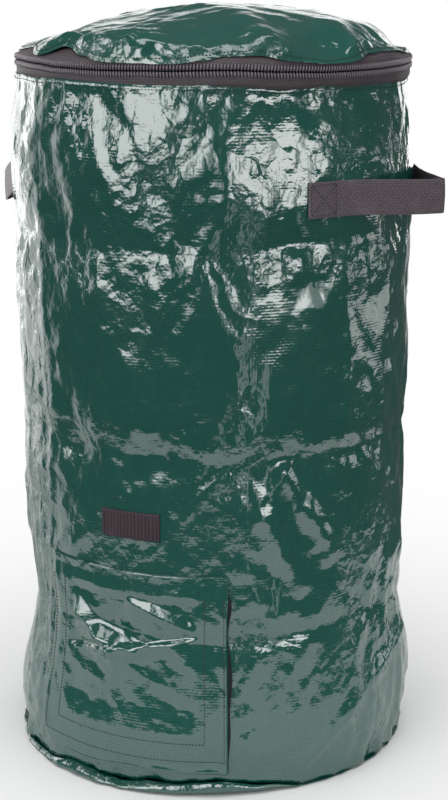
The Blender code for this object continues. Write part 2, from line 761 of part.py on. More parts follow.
def print_sizes():
    """Print the places that a description of the bag needs."""
    print("parting height", round(PARTING_HEIGHT, 5), "lid top", round(LID_HEIGHTS[0], 5))
    print("opening", round(opening_half_width(), 5), round(opening_bottom(), 5), round(opening_top(), 5))
    print("flap half angle", round(flap_half_angle(), 3), "flap lift", round(FLAP_LIFT, 5))
    print("pull axis radius", round(PULL_AXIS_RADIUS, 5))
    columns, (start, end) = handle_path()
    print("handle sewn from", round(start, 3), "to", round(end, 3), "degrees")
    print("handle reach", round(max(c[0] for c in columns if isinstance(c, tuple)), 5))


def main():
    for item in list(bpy.data.objects):
        bpy.data.objects.remove(item, do_unlink=True)
    parts = bpy.data.collections.new("garden_waste_bag")
    cutters = bpy.data.collections.new("cutters")
    bpy.context.scene.collection.children.link(parts)
    bpy.context.scene.collection.children.link(cutters)

    film = make_material("green_film", linear(31, 73, 64), 0.35)
    lid_film = make_material("green_lid_film", linear(58, 101, 89), 0.35)
    tape = make_material("zip_tape", linear(67, 62, 67), 0.85)
    coil = make_material("zip_coil", linear(60, 56, 60), 0.45)
    metal = make_material("zip_metal", linear(70, 70, 72), 0.35, 1.0)
    webbing = make_material("webbing", linear(87, 81, 86), 0.80)
    hook = make_material("hook_tape", linear(56, 50, 56), 0.90)
    loop = make_material("loop_tape", linear(50, 46, 50), 0.95)
    thread = make_material("thread", linear(24, 30, 28), 0.80)
    binding = make_material("binding", linear(28, 32, 31), 0.80)

    wall_panel(parts, cutters, film)
    wall_seams(parts, film, thread, binding)
    base_panel(parts, film)
    zip_tapes(parts, tape, coil, metal, thread)
    lid_hinge(parts, film)
    lid(parts, lid_film, thread)
    flap_seat(parts, film, thread, loop)
    harvest_flap(parts, film, thread, hook)
    holder_patch(parts, hook, thread)
    handles(parts, webbing, thread)
    zipper_slider(parts, cutters, metal)
    zipper_pull(parts, metal)
    hinge_axis_markers(parts)
    print_sizes()


main()
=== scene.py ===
# %% [markdown]
# # A round garden waste bag, dressed for its photograph
#
# The bag is a tube of glossy woven film with a round base sewn in below, a domed lid
# zipped on above, a harvest flap at the front and a webbing loop on each side.
# Its plain solids come packed as a frame: they say where every piece is and what moves.
# This lesson makes the film, tapes, teeth and stitches that the eye sees on top of them.

# %% Load the frame
import math

import bpy
import numpy as np
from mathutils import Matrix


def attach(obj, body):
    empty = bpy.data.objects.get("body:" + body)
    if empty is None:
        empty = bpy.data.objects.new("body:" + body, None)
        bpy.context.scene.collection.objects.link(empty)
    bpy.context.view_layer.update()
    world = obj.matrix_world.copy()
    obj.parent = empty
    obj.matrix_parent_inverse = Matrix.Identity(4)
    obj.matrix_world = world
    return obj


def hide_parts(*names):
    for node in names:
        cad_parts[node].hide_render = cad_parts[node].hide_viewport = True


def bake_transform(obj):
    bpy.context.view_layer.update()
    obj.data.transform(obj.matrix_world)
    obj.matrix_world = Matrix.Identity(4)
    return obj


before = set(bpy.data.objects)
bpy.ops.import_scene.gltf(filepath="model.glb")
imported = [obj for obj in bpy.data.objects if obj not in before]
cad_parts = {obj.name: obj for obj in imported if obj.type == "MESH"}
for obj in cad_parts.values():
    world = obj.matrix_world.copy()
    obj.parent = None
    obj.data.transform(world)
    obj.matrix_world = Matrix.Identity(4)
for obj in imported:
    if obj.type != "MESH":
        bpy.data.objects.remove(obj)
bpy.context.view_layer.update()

TAU = 2.0 * math.pi

# %% [markdown]
# ## The camera
#
# Fitting the bag's known outline to the photograph gave the camera's place: two metres
# off, a little above the bag and to its right, looking down by fourteen degrees.
# An angle round the bag is counted from the front, -Y, towards +X, and so is the camera's.

# %% Place the camera
CAMERA_TURN = math.radians(25.6)
CAMERA_TILT = math.radians(14.152)
CAMERA_AWAY = 1.9827
CAMERA_ASIDE = 0.012
CAMERA_HEIGHT = 0.8999

scene = bpy.context.scene
camera_data = bpy.data.cameras.new("camera")
camera_data.lens = 76.98
camera = bpy.data.objects.new("camera", camera_data)
scene.collection.objects.link(camera)
camera.location = (
    CAMERA_AWAY * math.sin(CAMERA_TURN) + CAMERA_ASIDE * math.cos(CAMERA_TURN),
    -CAMERA_AWAY * math.cos(CAMERA_TURN) + CAMERA_ASIDE * math.sin(CAMERA_TURN),
    CAMERA_HEIGHT,
)
camera.rotation_euler = (0.5 * math.pi - CAMERA_TILT, 0.0, CAMERA_TURN)
scene.camera = camera
scene.view_settings.view_transform = "Standard"
print("camera at", [round(c, 3) for c in camera.location])

# %% [markdown]
# ## Shader maths as plain expressions
#
# Every finish below is a recipe of nodes. A Signal wraps one output socket, so that
# `1 - mask` or `weave * 0.2` adds the Math node by itself, and a Recipe holds the
# material and adds any other node: its settings first, then what its sockets get.

# %% Signals and recipes
class Signal:
    """A number that varies over a surface; adding or multiplying it adds a Math node."""

    def __init__(self, recipe, socket):
        self.recipe = recipe
        self.socket = socket

    def output(self, key):
        """Another output of the same node."""
        return Signal(self.recipe, self.socket.node.outputs[key])

    def combine(self, operation, first, second):
        return self.recipe.node("Math", {"operation": operation}, {0: first, 1: second})

    def __add__(self, other):
        return self.combine("ADD", self, other)

    def __sub__(self, other):
        return self.combine("SUBTRACT", self, other)

    def __rsub__(self, other):
        return self.combine("SUBTRACT", other, self)

    def __mul__(self, other):
        return self.combine("MULTIPLY", self, other)

    def __truediv__(self, other):
        return self.combine("DIVIDE", self, other)

    def __pow__(self, other):
        return self.combine("POWER", self, other)

    __radd__ = __add__
    __rmul__ = __mul__


class Recipe:
    """A material, or the world, as a tree of nodes."""

    def __init__(self, name, owner=None):
        self.owner = owner or bpy.data.materials.new(name)
        self.owner.use_nodes = True
        self.tree = self.owner.node_tree
        self.tree.nodes.clear()

    def node(self, kind, settings=None, values=None, output=0):
        """One node: its settings are set first, then its sockets are filled or linked."""
        node = self.tree.nodes.new("ShaderNode" + kind)
        for name, value in (settings or {}).items():
            setattr(node, name, value)
        for name, value in (values or {}).items():
            if isinstance(value, Signal):
                self.tree.links.new(value.socket, node.inputs[name])
            else:
                node.inputs[name].default_value = value
        return Signal(self, node.outputs[output]) if node.outputs else node

    def smooth_step(self, value, low, high):
        """0 below low, 1 above high, eased between."""
        settings = {"interpolation_type": "SMOOTHSTEP"}
        return self.node("MapRange", settings, {0: value, 1: low, 2: high})

    def mix(self, share, first, second):
        """The first colour where the share is 0 and the second where it is 1."""
        colours = [c if isinstance(c, Signal) else (*c, 1.0) for c in (first, second)]
        values = {0: share, 6: colours[0], 7: colours[1]}
        return self.node("Mix", {"data_type": "RGBA"}, values, 2)

    def place(self):
        """Where a point is on the object, in metres."""
        return self.node("TexCoord", output=3)

    def parts(self, vector):
        """The x, y and z of a vector, as three signals."""
        first = self.node("SeparateXYZ", {}, {0: vector})
        return first, first.output(1), first.output(2)

    def along(self):
        """The cloth's own two directions, in metres, as two signals."""
        return self.parts(self.node("UVMap", {"uv_map": "cloth"}))[:2]

    def noise(self, where, scale, detail=2.0):
        """Cloudy noise about 0.5."""
        values = {"Vector": where, "Scale": scale, "Detail": detail, "Roughness": 0.5}
        return self.node("TexNoise", {}, values)

    def shifted(self, where, offset=(0.0, 0.0, 0.0), stretch=(1.0, 1.0, 1.0)):
        """The same place, moved and stretched, for another draw of a pattern."""
        values = {"Vector": where, "Location": offset, "Scale": stretch}
        return self.node("Mapping", {}, values)

    def patches(self, where, offset, scale, low, high):
        """Soft-edged patches, from 0 to 1, of another draw of the noise."""
        return self.smooth_step(self.noise(self.shifted(where, offset), scale), low, high)

    def crushed(self, where, scale, offset):
        """Flat facets with sharp creases: the difference of two squared distances."""
        first = self.node("TexVoronoi", {}, {"Vector": where, "Scale": scale})
        moved = self.shifted(where, offset)
        second = self.node("TexVoronoi", {}, {"Vector": moved, "Scale": scale})
        return first * first - second * second

    def relief(self, height):
        """Tilt the surface as this height in metres would."""
        values = {"Height": height, "Distance": 1.0, "Strength": 1.0}
        return self.node("Bump", {}, values)

    def finish(self, **values):
        """The Principled shader, with its sockets named in words joined by underscores."""
        sockets = {name.replace("_", " "): value for name, value in values.items()}
        shader = self.node("BsdfPrincipled", {}, sockets)
        self.node("OutputMaterial", {}, {"Surface": shader})
        return self.owner


def from_display(red, green, blue):
    """The linear colour of a display colour of 0 to 255 a channel."""
    shares = [channel / 255.0 for channel in (red, green, blue)]
    return tuple(s / 12.92 if s <= 0.04045 else ((s + 0.055) / 1.055) ** 2.4 for s in shares)


# %% [markdown]
# ## The studio
#
# Glossy film looks like what it mirrors, so the room matters as much as the colour.
# Two upright softboxes, left and right of the camera, make the white streaks, and each
# has a dimmer rim. Lamps at the sides and behind brighten the bag's edges, a small grey
# card shows in the flap, and a level lamp overhead shows in the lid. The pale floor near
# the bag makes the grey sheen low down, and it ends in the dark of the studio. Behind the
# bag, to the left, a pale sweep stands up a little way from the floor.

# %% Softboxes
# Name, degrees from the camera, distance, width, height, bottom and brightness.
SOFTBOXES = (
    ("softbox_left", -35, 2.15, 1.2, 1.6, 0.66, 1.6),
    ("softbox_left_middle_edge", -36, 2.17, 1.6, 1.9, 0.54, 1.4),
    ("softbox_left_edge", -34, 2.2, 2.1, 2.4, 0.38, 1.3),
    ("softbox_left_side_edge", -78, 2.2, 0.8, 1.1, 1, 3.4),
    ("softbox_right", 35, 2.15, 0.85, 0.53, 0.44, 2.4),
    ("softbox_right_middle_edge", 36, 2.17, 1.2, 0.64, 0.39, 1.4),
    ("softbox_right_edge", 38, 2.2, 1.8, 0.76, 0.34, 0.9),
    ("grey_card_edge", 18.5, 1, 0.13, 0.38, 0.03, 0.8),
    ("softbox_far_right_edge", 99, 2.3, 1.15, 0.38, 0.1, 1.5),
    ("softbox_rear_left_edge", -142, 2.3, 0.8, 1.6, 0.12, 1.3),
    ("softbox_rear_left", -128, 2.25, 0.36, 1.4, 0.4, 1.5),
    ("softbox_rear_left_middle_edge", -128, 2.27, 0.36, 1.4, 0.4, 1.5),
    ("softbox_rear_right", 150, 2.3, 0.7, 1, 0.4, 2.8),
)
TOP_SOFTBOX = ("softbox_top", 0, 0.62, 1.8, 1.05, 2.2, 2.6)


def add_softbox(name, turn, away, width, tall, bottom, brightness):
    """An upright lamp at an angle from the camera's direction, facing the bag.
    Its power is pi times its brightness times its area. An edge is the dim rim that a
    softbox has round its bright middle: it shows in the film and adds no other light."""
    lamp = bpy.data.lights.new(name, "AREA")
    lamp.shape = "RECTANGLE"
    lamp.size = width
    lamp.size_y = tall
    lamp.energy = math.pi * brightness * width * tall
    item = bpy.data.objects.new(name, lamp)
    scene.collection.objects.link(item)
    side = CAMERA_TURN + math.radians(turn)
    item.location = (away * math.sin(side), -away * math.cos(side), bottom + 0.5 * tall)
    item.rotation_euler = (0.5 * math.pi, 0.0, side)
    item.visible_camera = False
    item.visible_diffuse = not name.endswith("edge")
    return item


for softbox in SOFTBOXES:
    add_softbox(*softbox)
add_softbox(*TOP_SOFTBOX).rotation_euler = (0.0, 0.0, CAMERA_TURN)
print("softboxes:", len(SOFTBOXES) + 1)

# %% The floor
SWEEP_SIDE = CAMERA_TURN - math.radians(150.0)
SWEEP_SPREAD = (0.4, 0.75)
SWEEP_FURTHER = 0.7
FLOOR_REACH = 0.76
FLOOR_FADE = 0.08
FLOOR_SEEN = (0.26, 1.3)
FLOOR_HALF = 1.35
FLOOR_COLOURS = ((0.93, 0.93, 0.93), (0.88, 0.88, 0.88))


def floor_finish():
    """Pale matt card. What the film mirrors ends at an edge, in the dark of the studio,
    and further off on the sweep's side. What the camera sees turns slowly into white."""
    recipe = Recipe("floor_card")
    x, y, _ = recipe.parts(recipe.place())
    away = (x * x + y * y) ** 0.5
    behind = (x * math.sin(SWEEP_SIDE) - y * math.cos(SWEEP_SIDE)) / away
    further = 1.0 + SWEEP_FURTHER * recipe.smooth_step(behind, *SWEEP_SPREAD)
    ended = recipe.smooth_step(away / further, FLOOR_REACH, FLOOR_REACH + FLOOR_FADE)
    faded = recipe.smooth_step(away, *FLOOR_SEEN) ** 0.6
    seen = recipe.node("LightPath")
    gone = ended + (faded - ended) * seen
    colour = recipe.mix(recipe.noise(recipe.place(), 300.0) * 0.02, *FLOOR_COLOURS)
    card = recipe.node("BsdfDiffuse", {}, {"Color": colour})
    clear = recipe.node("BsdfTransparent")
    both = recipe.node("MixShader", {}, {0: gone, 1: card, 2: clear})
    recipe.node("OutputMaterial", {}, {"Surface": both})
    return recipe.owner


floor_mesh = bpy.data.meshes.new("floor")
corner_signs = ((-1, -1), (1, -1), (1, 1), (-1, 1))
floor_corners = [(x * FLOOR_HALF, y * FLOOR_HALF, 0.0) for x, y in corner_signs]
floor_mesh.from_pydata(floor_corners, [], [(0, 1, 2, 3)])
floor = bpy.data.objects.new("floor", floor_mesh)
scene.collection.objects.link(floor)
floor_mesh.materials.append(floor_finish())

# %% The room round it
ROOM_LIGHT = (0.54, 0.9)
ROOM_MIRRORED = (0.095, 0.13)
BACKDROP_LEVEL = 1.6
BACKDROP_SPREAD = (0.58, 0.86)
BACKDROP_TOP = (0.13, 0.36)


def light_the_room():
    """White for the camera; for light and reflections a dim room with a pale top and backdrop."""
    recipe = Recipe("room", scene.world or bpy.data.worlds.new("room"))
    scene.world = recipe.owner
    direction = recipe.node("TexCoord", output=0)
    x, y, z = recipe.parts(direction)
    behind = x * math.sin(SWEEP_SIDE) - y * math.cos(SWEEP_SIDE)
    low_down = 1.0 - recipe.smooth_step(z, *BACKDROP_TOP)
    backdrop = recipe.smooth_step(behind, *BACKDROP_SPREAD) * low_down
    top = recipe.smooth_step(z, 0.25, 0.9)
    low = recipe.smooth_step(z, -0.35, 0.0)
    lit, shown = (base + (high - base) * top for base, high in (ROOM_LIGHT, ROOM_MIRRORED))
    lit = lit * (0.25 + 0.75 * low)
    shown = shown + (BACKDROP_LEVEL - shown) * backdrop
    path = recipe.node("LightPath")
    mirrored = path.output("Is Glossy Ray") + path.output("Is Transmission Ray")
    level = lit + (shown - lit) * mirrored
    seen = path.output("Is Camera Ray")
    level = level * (1.0 - seen) + seen
    values = {"Color": (1, 1, 1, 1), "Strength": level}
    background = recipe.node("Background", {}, values)
    recipe.node("OutputWorld", {}, {"Surface": background})


light_the_room()

# %% [markdown]
# ## The bag's plain shape
#
# The wall narrows at a waist, swells in the middle and draws in to the zip. Its radius
# is known at six heights, and half a cosine wave eases from each to the next.

# %% Radius at any height
WALL_STATIONS = (0.0115, 0.055, 0.165, 0.45, 0.71, 0.7875)
WALL_RADII = (0.2325, 0.237, 0.2222, 0.2272, 0.2303, 0.224)
BASE_SEAM = WALL_STATIONS[0]
RIM = WALL_STATIONS[-1]
BELLY_RADIUS = 0.2272
FILM = 0.001
GAP = 0.0003


def eased(where, stations, values):
    """Values at the stations, with half a cosine wave from each to the next."""
    stations = np.asarray(stations, float)
    values = np.asarray(values, float)
    index = np.clip(np.searchsorted(stations, where) - 1, 0, len(stations) - 2)
    share = np.clip((where - stations[index]) / (stations[index + 1] - stations[index]), 0.0, 1.0)
    share = 0.5 - 0.5 * np.cos(math.pi * share)
    return values[index] + (values[index + 1] - values[index]) * share


def round_point(angle, radius, height):
    """x = radius * sin(angle), y = -radius * cos(angle), z = height."""
    angle, radius, height = np.broadcast_arrays(angle, radius, height)
    return np.stack([radius * np.sin(angle), -radius * np.cos(angle), height], axis=-1)


print("wall radius at half height:", round(float(eased(0.4, WALL_STATIONS, WALL_RADII)), 4))

# %% [markdown]
# ## Unevenness that closes round the bag
#
# Two kinds are needed. Ripples are gentle: many sine waves, each with a whole number of
# turns round the bag. Crumples are what film does: flat facets that meet in creases.
# For those, the squared distance to the nearest of some random points, less that to the
# nearest of other random points, is a flat plane in each patch, and it never jumps.

# %% Ripples and crumples
WAVE_COUNT = 18


def ripple(angle, height, size, seed):
    """A sum of sine waves of about this length and random direction, from about -1 to 1."""
    rng = np.random.default_rng(seed)
    heading = rng.uniform(0.0, TAU, WAVE_COUNT)
    pace = TAU / (size * rng.uniform(0.7, 1.5, WAVE_COUNT))
    turns = np.round(pace * np.cos(heading) * BELLY_RADIUS)
    climb = pace * np.sin(heading)
    start = rng.uniform(0.0, TAU, WAVE_COUNT)
    total = 0.0
    for turn, rise, phase in zip(turns, climb, start):
        total = total + np.cos(turn * angle + rise * height + phase)
    return total / math.sqrt(WAVE_COUNT)


def nearest(across, up, columns, seed):
    """Squared distance, in cells, to the nearest seed, with one at random in each cell."""
    rng = np.random.default_rng(seed)
    rows = 97
    seeds = rng.random((rows, columns, 2))
    column = np.floor(across).astype(int)
    row = np.floor(up).astype(int)
    best = np.full(np.shape(across), 9.0)
    for down in (-1, 0, 1):
        for side in (-1, 0, 1):
            point = seeds[(row + down) % rows, (column + side) % columns]
            aside = column + side + point[..., 0] - across
            above = row + down + point[..., 1] - up
            best = np.minimum(best, aside * aside + above * above)
    return best


def crumple(angle, height, cell, stretch, seed):
    """Facets about a cell wide, longer upwards by the stretch; slopes are about 1."""
    angle, height = np.broadcast_arrays(angle, height)
    columns = int(round(TAU * BELLY_RADIUS / cell))
    across = angle / TAU * columns
    up = height / (cell * stretch)
    return cell * (nearest(across, up, columns, seed) - nearest(across, up, columns, seed + 1))


def bump(distance, reach):
    """1 at the middle, easing to 0 within about twice the reach: a bell curve."""
    return np.exp(-((distance / reach) ** 2))


def kink(distance, reach):
    """1 in a sharp line, falling off to each side: the section of a pressed fold."""
    return np.exp(-np.abs(distance) / reach)


def around(angle, middle):
    """The signed turn in radians from a middle angle given in degrees."""
    return (angle - math.radians(middle) + math.pi) % TAU - math.pi


def unit(value):
    """The value, held between 0 and 1."""
    return np.clip(value, 0.0, 1.0)


def spot(angle, height, side, level, reach, span):
    """1 at a place on the wall, easing to 0 within these degrees round and metres up."""
    return bump(around(angle, side), math.radians(reach)) * bump(height - level, span)


# %% [markdown]
# ## How the film hangs
#
# The bag was packed flat and folded, so a grid of pressed folds runs round it and up it,
# with star-shaped puckers where they cross. Standing, it also leans a little. Long soft
# folds run down its sides, and it is gathered under the zip and over the base.

# %% Pressed folds and the lean
# Height, reach above, reach below and depth of each level fold.
LEVEL_FOLDS = (
    (0.19, 0.024, 0.02, 0.0042), (0.392, 0.03, 0.044, 0.0046), (0.62, 0.03, 0.02, 0.0034),
)
UPRIGHT_FOLDS = tuple(zip(range(26, 360, 45), (1.0, 0.4, 0.9, 0.4) * 2))
LEAN_SIDE = 115.6
LEAN_HEIGHTS = (0.0, 0.13, 0.36, 0.79)
LEAN_SHIFTS = (-0.0024, 0.005, 0.001, -0.0036)


def lean(angle, height):
    """The whole ring shifts sideways by an amount that depends on its height."""
    return eased(height, LEAN_HEIGHTS, LEAN_SHIFTS) * np.cos(around(angle, LEAN_SIDE))


def pressed_folds(angle, height):
    """Valleys along the lines on which the empty bag was folded, each with its own
    reach above and below."""
    total = 0.0
    for index, (level, reach_above, reach_below, sink) in enumerate(LEVEL_FOLDS):
        wander = 0.0035 * ripple(angle, height * 0.0, 0.35, 11 + index)
        for side, _ in UPRIGHT_FOLDS[::2]:
            wander = wander - 0.012 * kink(around(angle, side), 0.45)
        depth = sink + 0.0012 * ripple(angle, height * 0.0, 0.16, 21 + index)
        above = height - level - wander
        total = total - depth * kink(above, np.where(above > 0.0, reach_above, reach_below))
    for index, (side, share) in enumerate(UPRIGHT_FOLDS):
        wander = 0.012 * ripple(angle * 0.0, height, 0.3, 31 + index)
        depth = share * (0.0018 + 0.001 * ripple(angle * 0.0, height, 0.2, 41 + index))
        total = total - depth * kink(around(angle, side) - wander, 0.11)
    return total


# %% Long folds and gathers
RIDGE_COUNT = 34


def long_folds(angle, height):
    """Ridges that wander down the wall: each a tent over its own wavy line."""
    rng = np.random.default_rng(7)
    total = 0.0
    for _ in range(RIDGE_COUNT):
        side = rng.uniform(0.0, 360.0)
        reach = rng.uniform(0.035, 0.085)
        rise = rng.uniform(0.0008, 0.0024) * rng.choice((-0.6, 1.0))
        middle, span = rng.uniform(0.05, 0.75), rng.uniform(0.1, 0.3)
        sway = rng.uniform(0.02, 0.07)
        pace, phase = rng.uniform(10.0, 24.0), rng.uniform(0.0, TAU)
        line = sway * np.sin(pace * height + phase)
        tent = unit(1.0 - np.abs(around(angle, side) - line) / reach)
        total = total + rise * tent * bump(height - middle, span)
    return total


def gathers(angle, height):
    """Small upright puckers at the two seams, which die out within a few centimetres."""
    fine = ripple(angle, height * 0.25, 0.015, 51)
    fine = fine * (0.6 + 0.5 * ripple(angle, height * 0.0, 0.11, 54))
    top = kink(RIM - height, 0.022) * (fine + 0.8 * ripple(angle, height * 0.4, 0.034, 55))
    wide = ripple(angle, height * 0.5, 0.045, 52) + 0.35 * ripple(angle, height * 0.4, 0.016, 53)
    foot = 0.0017 * kink(height - BASE_SEAM, 0.022) * (1.0 - 0.8 * bump(around(angle, 75.0), 0.6))
    return 0.0011 * top + foot * wide


# %% Star puckers, crumples and calm places
STARS = (
    (23.7, 0.603, 1.2), (28.5, 0.376, 1.1), (58, 0.617, 0.15), (2, 0.618, 0.5), (40, 0.182, 0.8),
    (71, 0.39, 0.5), (116, 0.608, 0.8), (206, 0.608, 0.9), (206, 0.392, 0.9), (251, 0.392, 0.7),
    (296, 0.608, 0.8), (-20, 0.4, 0.5),
)
FLAP_HALF = 0.118 / BELLY_RADIUS
FLAP_BOTTOM = 0.031
FLAP_TOP = 0.257
PATCH_LOW = 0.295
PATCH_HIGH = 0.326
PATCH_SPAN = (-0.029 / BELLY_RADIUS, 0.042 / BELLY_RADIUS)
HANDLE_LOW = 0.6465
HANDLE_HIGH = 0.6845


def stars(angle, height):
    """Rays of short creases round each crossing of two folds."""
    total = 0.0
    for index, (side, level, share) in enumerate(STARS):
        aside = around(angle, side) * BELLY_RADIUS
        above = height - level
        away = np.sqrt(aside * aside + above * above)
        rays = np.cos(7.0 * np.arctan2(above, aside) + index)
        total = total + share * 0.0016 * np.abs(rays) * away / 0.03 * bump(away, 0.042)
    return total


def inside(value, low, high, edge):
    """1 between low and high, easing to 0 over an edge's width outside them."""
    return unit((value - low) / edge + 1.0) * unit((high - value) / edge + 1.0)


def calm(angle, height):
    """How much crumpling is left: little where something is sewn on to the film."""
    turned = around(angle, 0.0)
    flap = inside(turned, -FLAP_HALF, FLAP_HALF, 0.05)
    flap = flap * inside(height, FLAP_BOTTOM, FLAP_TOP, 0.012)
    patch = inside(turned, *PATCH_SPAN, 0.04) * inside(height, PATCH_LOW, PATCH_HIGH, 0.01)
    tacks = 0.0
    for side in (56.0, 124.0, 236.0, 304.0):
        near = inside(around(angle, side), -0.085, 0.085, 0.05)
        tacks = tacks + near * inside(height, HANDLE_LOW, HANDLE_HIGH, 0.012)
    rim = inside(height, RIM - 0.006, RIM + 0.02, 0.01)
    return 1.0 - np.clip(0.85 * flap + 0.9 * patch + 0.9 * tacks + 0.6 * rim, 0.0, 0.9)


def crumples(angle, height):
    """Three sizes of facet, the smaller ones only where the film was crushed."""
    bent = angle + 0.05 * ripple(angle, height, 0.16, 61)
    lifted = height + 0.012 * ripple(angle, height, 0.14, 62)
    large = 0.064 * crumple(bent, lifted, 0.095, 1.7, 71)
    middle = 0.105 * crumple(bent, lifted, 0.042, 1.5, 81)
    small = 0.135 * crumple(bent, lifted, 0.02, 1.3, 91)
    crushed = unit(0.5 + 0.6 * ripple(angle, height, 0.17, 63))
    spots = unit(0.35 + 0.9 * ripple(angle, height, 0.11, 64))
    quiet = 1.0 - 0.72 * bump(height - 0.495, 0.08) * bump(around(angle, 34.0), 0.95)
    quiet = quiet * (1.0 - 0.6 * bump(around(angle, 55.0), 0.12) * bump(height - 0.305, 0.035))
    return quiet * (large + middle * (0.35 + 0.65 * crushed) + small * spots)


# Degrees round, height, degrees of reach, reach up and down, and depth in millimetres.
DENTS = (
    (40, 0.775, 26, 0.018, 2), (60, 0.622, 24, 0.017, 2), (13, 0.618, 9, 0.016, 2),
    (-11, 0.645, 6, 0.02, 1.6), (-15, 0.396, 12, 0.03, 4.8), (6, 0.385, 11, 0.027, 4.2),
    (72, 0.386, 24, 0.016, 2.4), (46, 0.186, 16, 0.015, 2.6), (-26, 0.7, 8, 0.06, 1.5),
    (40, 0.645, 15, 0.04, -2.4), (26.5, 0.69, 7, 0.028, -2.4), (68, 0.69, 11, 0.028, -1.8),
)
# The two ends in degrees and metres, then height and reach in millimetres.
RIDGES = (
    (45.5, 0.372, 52.6, 0.33, 3.4, 11), (52.6, 0.33, 61.6, 0.274, 5.8, 17),
    (35, 0.38, 40.2, 0.324, 2.8, 9), (40.2, 0.324, 50, 0.24, 5, 17),
    (28.9, 0.374, 17.9, 0.322, 1.6, 9), (-8.1, 0.737, 0.7, 0.662, 1.8, 9),
    (29.9, 0.77, 29.6, 0.711, 1.5, 7), (-5.2, 0.779, 18.4, 0.628, -2, 13),
    (75.8, 0.296, 80.5, 0.146, 2.4, 10), (80.5, 0.146, 67.2, 0.091, 2.2, 11),
    (98, 0.14, 77.2, 0.108, 5.6, 17), (77.2, 0.108, 64.5, 0.076, 5, 15),
    (64.5, 0.076, 53, 0.036, 3.8, 13), (95, 0.15, 93.5, 0.03, 3.4, 11),
    (-29, 0.547, -30, 0.315, 2, 9), (-34, 0.45, -36, 0.2, 2.2, 10), (-40, 0.6, -42, 0.3, 2.4, 11),
    (-33, 0.14, -29, 0.05, 2, 10), (66, 0.42, 84, 0.33, 1.6, 9), (88, 0.3, 86, 0.12, 2.4, 10),
    (150, 0.76, 172, 0.56, 2.6, 14), (196, 0.7, 214, 0.44, 2.8, 13),
    (228, 0.36, 205, 0.18, 2.6, 14), (262, 0.56, 248, 0.3, 2.8, 13),
    (284, 0.25, 268, 0.08, 2.6, 12), (128, 0.42, 140, 0.2, 2.6, 13),
    (-50, 0.3, -48, 0.06, 2.4, 6.5), (-43, 0.26, -46, 0.05, 2.6, 6.5),
    (-56, 0.32, -52, 0.08, 2.6, 7), (-38.5, 0.23, -41, 0.09, 2.2, 6.5),
    (-47, 0.62, -48.5, 0.42, 2.4, 6.5), (-41.5, 0.56, -43, 0.38, 2, 6.5),
    (-31.5, 0.33, -33, 0.12, 2.8, 11), (-38, 0.4, -36.5, 0.12, 3.2, 13),
    (-46, 0.5, -45, 0.08, 3.2, 14),
)


def dents_and_ridges(angle, height):
    """Hollows, as bell curves in millimetres, and tents over straight lines on the cloth:
    one less the distance from the line over the reach. Where tents meet, the higher one
    counts, and where valleys meet, the deeper one."""
    total, highest, lowest = 0.0, 0.0, 0.0
    for side, level, reach, span, depth in DENTS:
        total = total - 0.001 * depth * spot(angle, height, side, level, reach, span)
    for side, level, last_side, last_level, rise, reach in RIDGES:
        run = np.array([math.radians(last_side - side) * BELLY_RADIUS, last_level - level])
        aside, above = around(angle, side) * BELLY_RADIUS, height - level
        share = unit((aside * run[0] + above * run[1]) / (run @ run))
        away = np.hypot(aside - share * run[0], above - share * run[1])
        tent = 0.001 * rise * unit(1.0 - away / (0.001 * reach))
        highest, lowest = np.maximum(highest, tent), np.minimum(lowest, tent)
    return total + highest + lowest


def front_fill(angle, height):
    """At the front the wall stands straighter: its waist fills out and its foot draws in."""
    waist = 0.006 * bump(height - 0.16, 0.055) - 0.003 * bump(height - 0.06, 0.045)
    return waist * bump(around(angle, 18.0), 1.0)


def hang(angle, height):
    """The slow part of the wall's shape, shared by all that is sewn to it."""
    slow = lean(angle, height) + front_fill(angle, height) + dents_and_ridges(angle, height)
    return slow + pressed_folds(angle, height) + long_folds(angle, height)


def skin(angle, height):
    """How far the wall's film stands out from its plain round shape, in metres."""
    loose = calm(angle, height)
    fine = crumples(angle, height) + stars(angle, height) + gathers(angle, height)
    return hang(angle, height) + loose * fine


# Degrees round, height, degrees of reach, reach up and down, and share.
CRUSHED_PLACES = (
    (6, 0.7, 15, 0.12, 1), (42, 0.7, 13, 0.05, 0.4), (72, 0.72, 22, 0.045, 0.9),
    (64, 0.6, 28, 0.018, 1), (-8, 0.59, 12, 0.03, 0.9), (-42, 0.5, 13, 0.4, 1),
    (33, 0.47, 5, 0.08, 0.8), (28, 0.375, 10, 0.03, 0.9), (20, 0.6, 9, 0.03, 0.8),
    (56, 0.4, 22, 0.02, 0.6), (40, 0.18, 12, 0.02, 0.8), (85, 0.2, 16, 0.16, 0.7),
    (150, 0.66, 24, 0.12, 0.9), (205, 0.42, 20, 0.22, 0.8), (250, 0.68, 26, 0.08, 0.9),
    (282, 0.3, 24, 0.16, 0.8), (120, 0.3, 18, 0.14, 0.7), (46, 0.505, 20, 0.045, -0.4),
)


def crushed_share(angle, height):
    """Where the film was crushed most, from 0 to 1: bell curves, and both seams."""
    total = 0.16 + 0.3 * unit(ripple(angle, height, 0.15, 65))
    for side, level, reach, span, share in CRUSHED_PLACES:
        total = total + share * spot(angle, height, side, level, reach, span)
    total = total + 0.8 * kink(RIM - height, 0.018) + 0.6 * kink(height - BASE_SEAM, 0.02)
    return unit(total)


def wall_point(angle, height, lift=0.0):
    """A point on the wall's film, or lifted off it by so much."""
    radius = eased(height, WALL_STATIONS, WALL_RADII) + skin(angle, height) + lift
    return round_point(angle, radius, height)


turns = np.linspace(0.0, TAU, 200)[None, :]
levels = np.linspace(BASE_SEAM, RIM, 100)[:, None]
print("the film strays by", np.round(1000.0 * np.ptp(skin(turns, levels)), 1), "mm in all")

